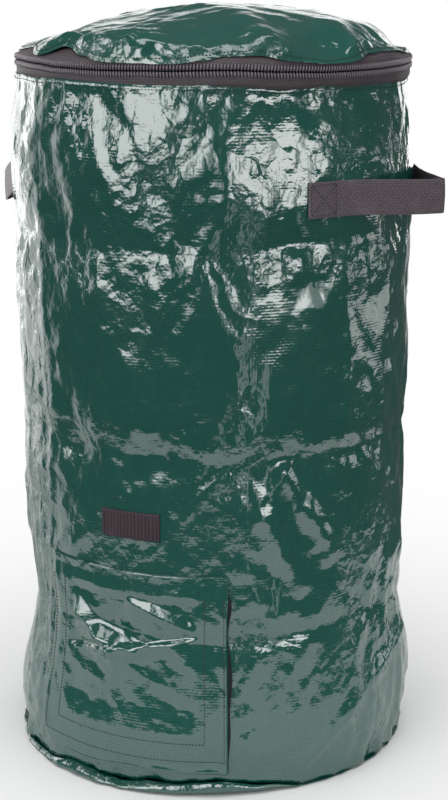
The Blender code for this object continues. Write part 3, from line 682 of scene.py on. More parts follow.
# %% [markdown]
# ## Where the zip runs
#
# The zip was guided by hand through the machine, so it wanders. Three lines matter: the
# parting between its two coils, the edge of the wall's film below it and the edge of the
# lid's film above it. Each is a few readings round the bag, as a rise over the plain line.
# At the back, where the slider sits, they come back to the plain line.

# %% The zip's three lines
PARTING = 0.8026
LID_EDGE = 0.8112
LID_TOP = 0.8627
LID_RADIUS = 0.2235
TAPE_RADIUS = 0.2227
TAPE_SHOWN = 0.0072
PARTING_TURNS = (-180, -135, -70, -45, -32, -21, -5, 12, 29, 46, 58, 73, 91, 115, 138, 180)
PARTING_RISES = (0, 0, -1.8, 0.2, -1.0, -3.2, -4.2, -3.6, -2.7, -5.0, -6.3, -6.0, -4.8, -2.0, 0, 0)
RIM_TURNS = (-180, -140, -90, -43, -21, -5, 12, 29, 41, 50, 58, 68, 91, 120, 150, 180)
RIM_RISES = (0, -1.0, -2.2, 0.4, 0.3, -1.5, -2.8, -2.1, -5.6, -5.8, -4.8, -5.6, -6.6, -2.0, 0, 0)
LID_TURNS = (
    -180, -135, -100, -70, -56, -43, -32, -21, -12, -5, 12,
    23, 29, 39, 46, 58, 65, 76, 88, 105, 138, 180,
)
LID_RISES = (
    0, 0, 3.0, -1.0, 1.0, 6.5, -1.5, 6.5, 0.5, -4.0, -5.0,
    -1.0, 2.3, 2.7, -2.3, -6.2, -4.8, 2.6, 4.0, 0, 0, 0,
)


def wave(angle, turns, rises):
    """The rise in metres at an angle, from readings in degrees and millimetres."""
    turned = (np.degrees(angle) + 180.0) % 360.0 - 180.0
    return 0.001 * eased(turned, turns, rises)


def parting_height(angle):
    """The line between the two coils."""
    return PARTING + wave(angle, PARTING_TURNS, PARTING_RISES)


def rim_height(angle):
    """The upper edge of the wall's film."""
    return RIM + wave(angle, RIM_TURNS, RIM_RISES) + 0.0004 * ripple(angle, 0.0 * angle, 0.05, 101)


def lid_edge(angle):
    """The lid's film edge, as radius and height: where it is drawn up, it is drawn in too."""
    rise = wave(angle, LID_TURNS, LID_RISES) + 0.0004 * ripple(angle, 0.0 * angle, 0.06, 102)
    lowest = parting_height(angle) + TAPE_SHOWN
    height = np.maximum(LID_EDGE + rise, lowest)
    return LID_RADIUS + 0.0014 - 1.7 * unit(height - LID_EDGE + 0.002), height


print("the parting sags at most", -min(PARTING_RISES), "mm")

# %% [markdown]
# ## From a grid of points to a piece
#
# Each surface is worked out as one array of points, rows by columns. Four neighbours
# make a face. The cloth map keeps where each corner is on the flat cloth, in metres, so
# a weave keeps its true size. Solidify then gives the film its thickness.

# %% Grids to meshes
def grid_corners(rows, columns, closed):
    """The four corners of every face, as row and column numbers, going round outwards."""
    spans = columns if closed else columns - 1
    row, column = np.meshgrid(np.arange(rows - 1), np.arange(spans), indexing="ij")
    row, column = row.ravel(), column.ravel()
    corner_rows = np.stack([row, row, row + 1, row + 1], axis=1)
    corner_columns = np.stack([column, column + 1, column + 1, column], axis=1)
    return corner_rows, corner_columns


def add_piece(name, points, faces, cloth, finish, body):
    """A smooth-shaded mesh with its cloth map, riding on a body."""
    mesh = bpy.data.meshes.new(name)
    mesh.from_pydata(np.asarray(points, float).tolist(), [], [list(face) for face in faces])
    if cloth is not None:
        layer = mesh.uv_layers.new(name="cloth")
        layer.uv.foreach_set("vector", np.asarray(cloth, np.float32).ravel())
    mesh.polygons.foreach_set("use_smooth", np.ones(len(mesh.polygons), bool))
    mesh.materials.append(finish)
    mesh.update()
    piece = bpy.data.objects.new(name, mesh)
    scene.collection.objects.link(piece)
    if body:
        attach(piece, body)
    return piece


def add_sheet(name, points, cloth, finish, body, thick=FILM, closed=False, keep=None,
              pole=None, flip=False):
    """A sheet over a grid of points. Closed joins its last column to its first, keep says
    which faces stay, pole closes its first row to one point, and flip turns it over."""
    rows, columns = points.shape[:2]
    corner_rows, corner_columns = grid_corners(rows, columns, closed)
    if keep is not None:
        corner_rows, corner_columns = corner_rows[keep], corner_columns[keep]
    faces = (corner_rows * columns + corner_columns % columns).tolist()
    spots = cloth[corner_rows, corner_columns].reshape(-1, 2)
    flat_points = points.reshape(-1, 3)
    if pole is not None:
        first = np.arange(columns)
        middle = np.full(columns, rows * columns)
        faces += np.stack([middle, (first + 1) % columns, first], axis=1).tolist()
        rim = np.stack([np.zeros((columns, 2)), cloth[0, 1:], cloth[0, :-1]], axis=1)
        spots = np.concatenate([spots, rim.reshape(-1, 2)])
        flat_points = np.concatenate([flat_points, [pole]])
    if flip:
        ends = np.cumsum([len(face) for face in faces])
        starts = np.concatenate([[0], ends[:-1]])
        order = [np.arange(start, end)[::-1] for start, end in zip(starts, ends)]
        spots = spots[np.concatenate(order)]
        faces = [face[::-1] for face in faces]
    piece = add_piece(name, flat_points, faces, spots, finish, body)
    shell = piece.modifiers.new("thickness", "SOLIDIFY")
    shell.thickness = thick
    shell.offset = -1.0
    return piece


def mark_crushed(piece, values):
    """Keep on each vertex how much the film is crushed there, for its finish to read."""
    values = np.asarray(values, np.float32).ravel()
    spare = np.full(len(piece.data.vertices) - len(values), values[-1], np.float32)
    mark = piece.data.attributes.new("crushed", "FLOAT", "POINT")
    mark.data.foreach_set("value", np.concatenate([values, spare]))


def straight_map(turns, heights, radius=BELLY_RADIUS):
    """The cloth map of a sheet on the wall: arc along and height up."""
    along, up = np.meshgrid(np.asarray(turns) * radius, np.asarray(heights))
    return np.stack([along, up], axis=-1)


# %% [markdown]
# ## The film's finish
#
# The sacks are woven from flat polyethylene tapes about three millimetres wide, with a
# clear glossy skin on top. So the weave only just shows, and the skin mirrors the room.
# Creases finer than the mesh are added as relief, with the same kind of facets.
# Where the film was creased hard it is a little paler, and it is duller in some places.

# %% Green film
BODY_GREEN = (0.005, 0.084, 0.064)
DARK_GREEN = (0.0042, 0.074, 0.056)
CREASED_GREEN = (0.022, 0.115, 0.086)
TAPE_WIDTH = 0.0032


def sine(recipe, value):
    """A sine wave of a signal."""
    return recipe.node("Math", {"operation": "SINE"}, {0: value})


def film_finish(name, crush=1.0):
    """Glossy woven film: crossing tapes under a clear skin that mirrors the room."""
    recipe = Recipe(name)
    place = recipe.place()
    across, up = recipe.along()
    warp = sine(recipe, across * (math.pi / TAPE_WIDTH))
    weft = sine(recipe, up * (math.pi / TAPE_WIDTH))
    over = 0.5 + 0.5 * warp * weft
    crown_warp, crown_weft = warp * warp, weft * weft
    weave = crown_warp * over * 0.85 + crown_weft * (1.0 - over) + crown_weft * 0.15
    crushed = recipe.node("Attribute", {"attribute_name": "crushed"}, output=2)
    clouds = recipe.noise(place, 9.0, 3.0)
    spots = recipe.patches(place, (3.1, 1.7, 0.4), 14.0, 0.38, 0.62)
    longer = recipe.shifted(place, stretch=(1.0, 1.0, 0.7))
    coarse = recipe.crushed(longer, 50.0, (0.37, 0.11, 0.53))
    medium = recipe.crushed(place, 95.0, (0.19, 0.47, 0.23))
    fine = recipe.crushed(place, 210.0, (0.31, 0.17, 0.43))
    depth = crushed * (0.35 + 0.65 * spots)
    sizes = ((coarse, 0.0027, 0.16), (medium, 0.00095, 0.08), (fine, 0.00032, 0.09))
    relief = sum(facets * rise * crush * (least + (1.0 - least) * depth)
                 for facets, rise, least in sizes)
    worn = recipe.patches(place, (1.3, 0.2, 2.1), 24.0, 0.35, 0.68)
    tilted = recipe.relief(relief + weave * (0.000012 + 0.00004 * worn))
    pale = recipe.smooth_step(coarse * coarse * 3.0 + clouds * 0.35, 0.3, 0.75)
    colour = recipe.mix(recipe.smooth_step(weave, 0.1, 0.75), DARK_GREEN, BODY_GREEN)
    colour = recipe.mix(pale * 0.14, colour, CREASED_GREEN)
    rough = 0.075 + 0.04 * clouds + 0.14 * crushed * spots
    return recipe.finish(Base_Color=colour, Roughness=rough, IOR=2.05, Normal=tilted)


wall_finish = film_finish("green_film")
lid_finish = film_finish("lid_film", crush=0.75)
print("film finishes:", wall_finish.name, lid_finish.name)

# %% [markdown]
# ## The wall
#
# One panel goes round and meets itself at the back. Columns are 1.2 degrees apart, and
# the rows are set so that the harvest opening's edges fall on rows. Its faces there are
# left out. The top edge waves up and down with the zip's seam.

# %% Wall panel
COLUMNS = 300
OPENING_LOW = 0.072
OPENING_HIGH = 0.241
OPENING_HALF = 21.6
SEAM_RADIUS = 0.235
SEAM_TURNS = (-180, -110, -60, -31, -17, -1, 8, 16, 20, 27, 40, 54, 110, 150, 180)
SEAM_RISES = (0, 0, -7.0, -4.5, 5.5, -1.0, 4.5, 4.0, 6.0, 8.5, 0.5, -8.0, -8.0, 0, 0)
angles = np.linspace(-math.pi, math.pi, COLUMNS + 1)
wall_rows = np.unique(np.concatenate([
    np.linspace(BASE_SEAM, OPENING_LOW, 14),
    np.linspace(OPENING_LOW, OPENING_HIGH, 36),
    np.linspace(OPENING_HIGH, RIM, 113),
]))


def seam_height(angle):
    """The wall's lower edge: it is drawn up at the front, where the base shows below it."""
    return BASE_SEAM + wave(angle, SEAM_TURNS, SEAM_RISES)


turn_grid = angles[None, :-1]
near_rim = unit((wall_rows[:, None] - RIM) / 0.05 + 1.0)
near_foot = unit(1.0 - (wall_rows[:, None] - BASE_SEAM) / 0.055)
level_grid = wall_rows[:, None] + (rim_height(turn_grid) - RIM) * near_rim
level_grid = level_grid + (seam_height(turn_grid) - BASE_SEAM) * near_foot
wall_points = wall_point(turn_grid, level_grid)
tucked = 1.0 - 0.9 * bump(around(turn_grid, 75.0), 0.6)
tuck = (0.0011 * tucked * kink(level_grid - seam_height(turn_grid), 0.0035))[..., None]
wall_points = wall_points * (1.0 - tuck / SEAM_RADIUS * np.array([1.0, 1.0, 0.0]))
corner_rows, corner_columns = grid_corners(len(wall_rows), COLUMNS, True)
face_angle = np.degrees(angles[corner_columns].mean(axis=1))
face_height = wall_rows[corner_rows].mean(axis=1)
in_opening = np.abs(face_angle) < OPENING_HALF
in_opening &= (face_height > OPENING_LOW) & (face_height < OPENING_HIGH)
wall = add_sheet(
    "wall_film", wall_points, straight_map(angles, wall_rows), wall_finish, "bag",
    closed=True, keep=~in_opening,
)
mark_crushed(wall, crushed_share(turn_grid, level_grid))
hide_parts("wall_panel")
print("wall faces:", len(wall.data.polygons))

# %% [markdown]
# ## The base
#
# A round of the same film, sewn to the wall's lower edge. The bag rests on it, so its
# middle is flat, and a short curve brings its rim up to the seam, puckered by the sewing.
# It is worked out in rings from the middle outwards, so the middle is one point.

# %% Base panel
BASE_FLAT = 0.2035
BASE_BULGE = 0.014
FLAT_SHARE = 0.8
BASE_CLOTH = 0.236


def round_map(shares, reach):
    """The cloth map of a round sheet in rings, from its middle out to this reach."""
    away = shares[:, None] * reach
    return np.stack([away * np.sin(angles), away * np.cos(angles)], axis=-1)


def base_point(angle, share):
    """Flat to four fifths of the way, then a quarter of an ellipse up to the rim.
    At the front it bulges: twice the quarter's angle as a sine, most at its middle."""
    curve = 0.5 * math.pi * unit((share - FLAT_SHARE) / (1.0 - FLAT_SHARE))
    slack = bump(around(angle, -14.0), 0.8)
    rim_level = seam_height(angle) - FILM - GAP
    rim_radius = eased(rim_level + 0.0 * share, WALL_STATIONS, WALL_RADII)
    flat = unit(share / FLAT_SHARE)
    radius = BASE_FLAT * flat + (rim_radius - BASE_FLAT) * np.sin(curve)
    radius = radius + BASE_BULGE * slack * np.sin(2.0 * curve)
    height = rim_level * (1.0 - np.cos(curve)) ** (1.0 + 0.8 * slack)
    near_rim = unit((share - 0.82) / 0.18)
    pucker = ripple(angle, share * 0.02, 0.03, 111) + 0.5 * ripple(angle, share * 0.05, 0.014, 113)
    wrinkle = crumple(angle, 0.25 * share + 0.02 * np.sin(9.0 * angle), 0.02, 0.6, 115)
    radius = radius + (0.0011 * pucker + 0.1 * wrinkle * (1.2 - near_rim)) * near_rim
    radius = radius - 0.0014 * kink(1.0 - share, 0.02)
    lifted = 0.0006 * (1.0 + ripple(angle * share, share * 0.2, 0.05, 112)) * flat
    radius = radius + lean(angle, height) * near_rim
    return round_point(angle, radius, height + 0.5 * lifted * (1.0 - near_rim))


shares = np.concatenate([np.linspace(0.03, FLAT_SHARE, 20), np.linspace(0.81, 1.0, 16)])
base_points = base_point(angles[None, :-1], shares[:, None])
base = add_sheet(
    "base_film", base_points, round_map(shares, BASE_CLOTH), wall_finish, "bag",
    closed=True, pole=(0.0, 0.0, 0.0),
)
mark_crushed(base, np.full(base_points.shape[:2], 0.4))
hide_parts("base_panel")
print("base faces:", len(base.data.polygons))

# %% [markdown]
# ## The lid
#
# Another round of film, blown up by the air in the bag: a dome that steepens towards
# the zip. It isn't even. To the left it falls in a straight slope with one sharp ridge,
# to the right it stands up in a shoulder, and over the zip it bulges and puckers.

# %% Lid panel
LID_POWER = 2.6
LID_LEFT = -64.4
LID_RIGHT = 115.6
LID_CLOTH = 0.234
RIDGE_START = (-0.0801, -0.2087)
RIDGE_RUN = (-0.0074, 0.1668)
SKIRT_SPAN = 0.045
SKIRT_RISE = 0.46


def flat_facets(x, y, cell, seed):
    """Crumples on a level sheet: the same facets, counted in cells along x and y."""
    across, up = (x + 0.5) / cell, (y + 0.5) / cell
    return cell * (nearest(across, up, 400, seed) - nearest(across, up, 400, seed + 1))


def skirt_share(angle):
    """Where the lid stands up steeply over the zip: 1 at the front, 0 at the back."""
    share = bump(around(angle, 1.0), 0.5) + 0.75 * bump(around(angle, 41.0), 0.12)
    return unit(share + 0.55 * bump(around(angle, 76.0), 0.18))


def skirt_folds(angle, climb):
    """Creases across the steep part over the zip, in metres in or out."""
    folds = 0.12 * crumple(angle, climb, 0.036, 1.0, 161)
    folds = folds + 0.17 * crumple(angle, climb + 0.2, 0.017, 1.0, 163)
    return folds + 0.0022 * ripple(angle, climb * 0.5, 0.035, 165)


def lid_facets(angle, share, x, y):
    """Three sizes of facet on the lid, the smaller ones near its rim, and puckers there."""
    rim_side = unit(1.0 - share) * LID_RADIUS
    bent_x = x + 0.01 * np.sin(31.0 * y + 1.0)
    bent_y = y + 0.01 * np.sin(27.0 * x + 2.0)
    front = bump(around(angle, 4.0), 0.42) + 0.8 * bump(around(angle, 42.0), 0.16)
    front = front + 0.7 * bump(around(angle, 76.0), 0.2)
    behind = 0.45 * bump(around(angle, 190.0), 1.2)
    crushed = 0.22 + (0.25 + front + behind) * bump(rim_side - 0.012, 0.026)
    facets = 0.05 * flat_facets(bent_x, bent_y, 0.085, 121)
    facets = facets + 0.11 * crushed * flat_facets(bent_x, bent_y, 0.04, 131)
    facets = facets + 0.15 * crushed * flat_facets(bent_x, bent_y, 0.019, 141)
    pucker = 0.0011 * ripple(angle, 0.0 * share, 0.022, 151) * kink(rim_side, 0.016)
    calmed = np.clip(rim_side / 0.01, 0.15, 1.0)
    return calmed * (facets + pucker) * unit(share / 0.1)


def lid_point(angle, share):
    """The edge's height plus a dome's, with its slope, ridge, shoulder and puckers."""
    edge_radius, edge_height = lid_edge(angle)
    skirt = skirt_share(angle)
    upright = 1.0 - (1.0 - unit((1.0 - share) / SKIRT_SPAN)) ** 1.25
    crown = 1.0 - np.minimum(share / (1.0 - SKIRT_SPAN), 1.0) ** 2.2
    dome = 1.0 - np.power(share, LID_POWER)
    dome = dome + (SKIRT_RISE * upright + (1.0 - SKIRT_RISE) * crown - dome) * skirt
    climb = (LID_TOP - edge_height) * dome
    height = edge_height + climb
    folds = skirt_folds(angle, climb) * bump(dome - 0.26, 0.24) * unit(dome / 0.1)
    radius = share * edge_radius + skirt * folds
    x, y = radius * np.sin(angle), -radius * np.cos(angle)
    to_left = unit(np.cos(around(angle, LID_LEFT)))
    to_right = unit(np.cos(around(angle, LID_RIGHT)))
    height = height - 0.0095 * to_left ** 1.5 * bump(share - 0.68, 0.26) * (1.0 - share ** 10)
    height = height + 0.0072 * to_right ** 2 * bump(share - 0.79, 0.11)
    height = height - 0.006 * to_right ** 2 * bump(share - 0.93, 0.05)
    ridge = (x - RIDGE_START[0]) * RIDGE_RUN[1] - (y - RIDGE_START[1]) * RIDGE_RUN[0]
    ridge = kink(ridge / math.hypot(*RIDGE_RUN), 0.02)
    height = height + 0.0048 * ridge * bump(share - 0.78, 0.3)
    return np.stack([x, y, height + lid_facets(angle, share, x, y)], axis=-1)


lid_shares = np.concatenate([
    np.linspace(0.02, 0.7, 34)[:-1],
    1.0 - 0.3 * (1.0 - np.linspace(0.0, 1.0, 46)) ** 2.2,
])
lid_points = lid_point(angles[None, :-1], lid_shares[:, None])
lid = add_sheet(
    "lid_film", lid_points, round_map(lid_shares, LID_CLOTH), lid_finish, "lid",
    closed=True, pole=tuple(lid_points[0].mean(axis=0)), flip=True,
)
near_edge = bump(1.0 - lid_shares[:, None] + 0.0 * angles[None, :-1], 0.28)
mark_crushed(lid, 0.15 + 0.75 * near_edge)
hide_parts("lid_panel")
print("lid faces:", len(lid.data.polygons), "top at", round(float(lid_points[..., 2].max()), 4))

# %% [markdown]
# ## Finishes of tape, thread and webbing
#
# The zip tape is a knitted polyester band, the coils are nylon wire, the straps are
# polypropylene webbing with ribs across, and the grip tapes are hooks and loops.
# Each gets its own weave from its cloth map, with threads one to four millimetres apart.

# %% Woven and moulded finishes
def woven_finish(name, colour, pitches, depth, rough, slant=0.0, fuzz=0.25, shaded=0.45):
    """Cloth with threads both ways: two waves that take turns on top. The pitches are
    those across and up the cloth, and shaded is how bright the gaps between threads are,
    painted darker as shade."""
    recipe = Recipe(name)
    place = recipe.place()
    across, up = recipe.along()
    warp = sine(recipe, (across + up * slant) * (math.pi / pitches[0]))
    weft = sine(recipe, up * (math.pi / pitches[1]))
    weave = warp * warp * 0.5 + weft * weft * 0.5 + warp * weft * 0.25
    fluff = recipe.noise(place, 900.0, 2.0)
    clouds = recipe.noise(place, 25.0, 3.0)
    dark = tuple(shaded * c for c in colour)
    pale = tuple(min(1.0, 1.35 * c) for c in colour)
    # Painted shade: the gaps between threads are darker, down to shaded times the colour.
    shade = recipe.mix(recipe.smooth_step(weave + fluff * fuzz, 0.15, 1.15), dark, colour)
    shade = recipe.mix(recipe.smooth_step(clouds, 0.45, 0.75) * 0.35, shade, pale)
    tilted = recipe.relief(weave * depth + fluff * (0.3 * depth))
    return recipe.finish(Base_Color=shade, Roughness=rough + 0.15 * clouds, Normal=tilted)


def moulded_finish(name, colour, rough, metallic=0.0):
    """Nylon wire or lacquered metal with fine scuffs."""
    recipe = Recipe(name)
    place = recipe.place()
    clouds = recipe.noise(place, 120.0, 3.0)
    scuffs = recipe.patches(place, (0.3, 0.1, 0.7), 700.0, 0.58, 0.74)
    pale = tuple(min(1.0, 1.8 * c + 0.02) for c in colour)
    shade = recipe.mix(scuffs * 0.5, colour, pale)
    tilted = recipe.relief(clouds * 0.00004 + scuffs * 0.00002)
    return recipe.finish(
        Base_Color=shade, Roughness=rough + 0.15 * clouds, Metallic=metallic, Normal=tilted,
    )


ZIP_GREY = from_display(84, 74, 80)
WEBBING_GREY = from_display(114, 102, 110)
GRIP_GREY = from_display(60, 53, 62)
zip_tape_finish = woven_finish(
    "zip_tape", ZIP_GREY, (0.0011, 0.0024), 0.0003, 0.55, slant=0.3, shaded=0.35)
coil_finish = moulded_finish("zip_coil", from_display(112, 104, 112), 0.28)
webbing_finish = woven_finish(
    "webbing", WEBBING_GREY, (0.0033, 0.0018), 0.0006, 0.48, slant=0.55, fuzz=0.4, shaded=0.17)
hook_finish = woven_finish("hook_tape", GRIP_GREY, (0.0012, 0.0012), 0.0004, 0.55, fuzz=0.6)
# Nearly black loop tape: where it shows past the flap's right edge it is painted shadow of the gap
# under the flap.
grip_loop_and_shadow_finish = woven_finish(
    "loop_tape", from_display(26, 31, 31), (0.0007, 0.0009), 0.0003, 0.9, fuzz=1.2)
patch_finish = woven_finish(
    "ribbed_patch", from_display(67, 44, 57), (0.0043, 0.285), 0.0011, 0.6, fuzz=0.7, shaded=0.02)
binding_finish = woven_finish(
    "binding_tape", from_display(58, 62, 60), (0.001, 0.001), 0.00015, 0.75)
thread_finish = moulded_finish("sewing_thread", from_display(46, 52, 54), 0.62)
metal_finish = moulded_finish("lacquered_zip_metal", from_display(70, 64, 70), 0.32, 0.6)
print("finishes:", len(bpy.data.materials))

# %% [markdown]
# ## Small shapes, many times
#
# A seam is hundreds of stitches and a coil hundreds of teeth. One small shape is made
# once. Copies are set at even steps along a line, each turned to the line's own
# direction, and all become one mesh by multiplying arrays.

# %% Bars along a line
def small_bar(length, width, height, arch=0.5, sides=6, rings=5):
    """A rounded bar that tapers to its ends and dips there: its rings' half width is the
    root of 1 - t^4 for t from -1 to 1."""
    t = np.linspace(-0.96, 0.96, rings)[:, None]
    turn = (np.arange(sides) / sides * TAU)[None, :]
    thick = np.sqrt(1.0 - t ** 4)
    along = 0.5 * length * t + 0.0 * turn
    aside = 0.5 * width * thick * np.cos(turn)
    out = 0.5 * height * thick * np.sin(turn) + height * (0.5 - arch * t ** 2)
    points = np.stack([along, aside, out], axis=-1).reshape(-1, 3)
    faces = []
    for ring in range(rings - 1):
        for spoke in range(sides):
            low, high = ring * sides, (ring + 1) * sides
            after = (spoke + 1) % sides
            faces.append((low + spoke, low + after, high + after, high + spoke))
    faces.append(tuple(range(sides))[::-1])
    faces.append(tuple((rings - 1) * sides + spoke for spoke in range(sides)))
    return points, faces


def reached_along(points):
    """How far along a line each of its points lies, in metres."""
    spans = np.linalg.norm(np.diff(points, axis=0), axis=1)
    return np.concatenate([[0.0], np.cumsum(spans)])


def steps_along(reached, pitch):
    """Evenly spaced lengths along a line, a whole number of pitches apart."""
    count = max(1, int(reached[-1] / pitch))
    return (np.arange(count) + 0.5) / count * reached[-1]


def read_off(where, reached, table):
    """Each column of a table, read off at these lengths along its line."""
    return np.stack([np.interp(where, reached, column) for column in table.T], axis=-1)


def sized(vectors):
    """The same directions, each one metre long."""
    return vectors / np.linalg.norm(vectors, axis=1)[:, None]


def copies(shape, points, outward, pitch, slant=0.0):
    """The shape at every pitch along a line, with its own axes: along, aside, outward."""
    reached = reached_along(points)
    where, step = steps_along(reached, pitch), 0.0005
    ahead, behind = (read_off(where + side * step, reached, points) for side in (1, -1))
    along = sized(ahead - behind)
    aside = sized(np.cross(read_off(where, reached, outward), along))
    out = np.cross(along, aside)
    swung = along * math.cos(slant) + aside * math.sin(slant)
    axes = np.stack([swung, np.cross(out, swung), out], axis=1)
    base_points, base_faces = shape
    placed = read_off(where, reached, points)[:, None, :] + base_points @ axes
    offsets = np.arange(len(where)) * len(base_points)
    faces = [tuple(corner + offset for corner in face) for offset in offsets for face in base_faces]
    return placed.reshape(-1, 3), faces


def join_copies(parts):
    """Several groups of copies as one."""
    points, faces, start = [], [], 0
    for some_points, some_faces in parts:
        points.append(some_points)
        faces += [tuple(corner + start for corner in face) for face in some_faces]
        start += len(some_points)
    return np.concatenate(points), faces


def outward_of(points):
    """The level direction away from the bag's axis at each point."""
    level = points * np.array([1.0, 1.0, 0.0])
    return level / np.maximum(np.linalg.norm(level, axis=1), 1e-9)[:, None]


green_thread_finish = moulded_finish("green_thread", (0.0055, 0.05, 0.036), 0.5)
STITCH = small_bar(0.0027, 0.0009, 0.0006)
STITCH_PITCH = 0.0038


def add_stitches(name, lines, body, node, finish=None, shape=STITCH, pitch=STITCH_PITCH):
    """A seam: stitches along each line of points on the cloth."""
    groups = [copies(shape, line, out, pitch) for line, out in lines]
    points, faces = join_copies(groups)
    piece = add_piece(name, points, faces, None, finish or thread_finish, body)
    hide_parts(node)
    return piece


print("faces in one stitch:", len(STITCH[1]))

# %% [markdown]
# ## The zip
#
# Two tapes hang on the film's edges, and the coils on them mesh at the parting. Each
# coil is a nylon wire bent into loops three and a half millimetres apart, seen as a row
# of slanted bars. The tapes stop short of the back, where the hinge strip is.

# %% Zip tapes
ZIP_HALF = 156.0
LEAF_HALF = 180.0 - ZIP_HALF - 0.3
HALF_GAP = 0.0009
TAPE_IN = 0.0026
TAPE_TURNED = 0.72
TAPE_ROWS = 19
zip_turns = np.radians(np.linspace(-ZIP_HALF, ZIP_HALF, 420))


def lower_tape_point(angle, share):
    """From under the wall's film, share 0, up to the parting, share 1."""
    low = RIM - 0.01
    top = parting_height(angle) - HALF_GAP
    height = low + (top - low) * share
    under = eased(height, WALL_STATIONS, WALL_RADII) - FILM - 2.0 * GAP
    under = under + np.minimum(skin(angle, height), 0.0)
    upright = TAPE_RADIUS + 0.0004 * ripple(angle, share * 0.01, 0.04, 161)
    blend = unit((height - rim_height(angle) + 0.004) / 0.006)
    radius = np.minimum(under, upright) * (1.0 - blend) + upright * blend
    return round_point(angle, radius, height)


def upper_tape_point(angle, share):
    """From the parting, share 0, up to the lid's film edge and on under it, share 1."""
    bottom = parting_height(angle) + HALF_GAP
    edge_radius, edge_height = lid_edge(angle)
    edge_radius, edge_height = edge_radius - TAPE_IN, edge_height - 0.0004
    standing = unit(share / TAPE_TURNED)
    radius = TAPE_RADIUS + (edge_radius - TAPE_RADIUS) * standing ** 2.5
    radius = radius + 0.0003 * ripple(angle, share * 0.01, 0.04, 162)
    upright = round_point(angle, radius, bottom + (edge_height - bottom) * standing)
    under = unit((share - TAPE_TURNED) / (1.0 - TAPE_TURNED))
    hidden = round_point(angle, edge_radius - 0.004 * under, edge_height + 0.0022 * under)
    return np.where((share > TAPE_TURNED)[..., None], hidden, upright)


tape_shares = np.linspace(0.0, 1.0, TAPE_ROWS)[:, None]
tape_places = np.broadcast_arrays(zip_turns[None, :], tape_shares)
tape_map = straight_map(zip_turns, np.linspace(0.0, 0.02, TAPE_ROWS), TAPE_RADIUS)
for name, node, surface, body, seat in (
    ("lower_zip_tape", "lower_zipper_tape", lower_tape_point, "bag", "wall_film"),
    ("upper_zip_tape", "upper_zipper_tape", upper_tape_point, "lid", "lid_film"),
):
    tape_points = surface(*tape_places)
    tape = add_sheet(name, tape_points, tape_map, zip_tape_finish, body, thick=0.0007)
    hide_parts(node)

# %% Coils
TOOTH_PITCH = 0.00345
TOOTH_LENGTH = 0.0068
TOOTH_LEAN = 0.16
COIL_RISE = 0.0036
COIL_HALF = 154.6
tooth = small_bar(TOOTH_LENGTH, 0.0021, 0.0024, arch=0.42, rings=6)
coil_turns = np.radians(np.linspace(-COIL_HALF, COIL_HALF, 900))


def tooth_row(rise, lean_by):
    """One coil: bars set across the tape, leaning, at every pitch along it."""
    line = round_point(coil_turns, TAPE_RADIUS + 0.0002, parting_height(coil_turns) + rise)
    points, faces = tooth
    upright = points[:, [1, 0, 2]] * np.array([-1.0, 1.0, 1.0])
    return copies((upright, faces), line, outward_of(line), TOOTH_PITCH, lean_by)


for name, side, body, node in (
    ("lower_zip_coil", -1.0, "bag", "lower_zipper_coil"),
    ("upper_zip_coil", 1.0, "lid", "upper_zipper_coil"),
):
    points, faces = tooth_row(side * COIL_RISE, -side * TOOTH_LEAN)
    coil = add_piece(name, points, faces, None, coil_finish, body)
    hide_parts(node)
    print(name, "faces:", len(faces))

# %% Seams along the zip
full_turn = np.linspace(-math.pi, math.pi, 900)
rim_line = wall_point(full_turn, rim_height(full_turn) - 0.0045, 0.0003)
add_stitches(
    "rim_stitches", [(rim_line, outward_of(rim_line))], "bag", "zipper_tape_stitching",
    green_thread_finish)


def lid_seam_line():
    """A line of stitching up to four millimetres in from the lid's film edge."""
    share = 0.982 + 0.011 * skirt_share(full_turn)
    line = lid_point(full_turn, share) + np.array([0.0, 0.0, 0.0004])
    inner = lid_point(full_turn, share - 0.006)
    return line, sized(np.cross(np.gradient(line, axis=0), inner - line))


add_stitches(
    "lid_stitches", [lid_seam_line()], "lid", "lid_stitching", green_thread_finish)

# %% [markdown]
# ## The hinge strip
#
# At the back the zip stops, and a strip of film joins wall and lid. It is one piece of
# cloth, shaped like the wall's zip tape below and the lid's zip tape above.

# %% Hinge strip
leaf_turns = math.pi + np.radians(np.linspace(-LEAF_HALF, LEAF_HALF, 60))
leaf_places = np.broadcast_arrays(leaf_turns[None, :], np.linspace(0.0, 1.0, 15)[:, None])
leaf_lower, leaf_upper = lower_tape_point(*leaf_places), upper_tape_point(*leaf_places)
leaf_points = np.concatenate([leaf_lower, leaf_upper[1:]], axis=0)
leaf_map = straight_map(leaf_turns, np.linspace(0.0, 0.044, len(leaf_points)), TAPE_RADIUS)
leaf = add_sheet("hinge_strip", leaf_points, leaf_map, wall_finish, None, thick=0.0008)
mark_crushed(leaf, np.full(leaf_points.shape[:2], 0.3))
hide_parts("lid_hinge_lower_leaf", "lid_hinge_upper_leaf")
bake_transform(leaf)

# %% [markdown]
# ## The harvest flap
#
# A square of film hangs over the opening from a sewn fold. Under its sides and foot are
# grip tapes, and two rows of stitching hold them. It stands off the wall by the tapes'
# thickness. Its foot and right edge curl a little, and dents run between the tapes.

# %% Flap panel
GRIP_WIDTH = 0.025
TAPE_LIFT = 0.0033
FOLD_LIFT = 0.0011
FOLD_START = 0.232
FOLD_END = 0.246


def shelf(below, ramp, reach):
    """0 above a line, a straight ramp just below it, then a slow fall back to 0."""
    return unit(below / ramp) * np.exp(-np.maximum(below - ramp, 0.0) / reach)


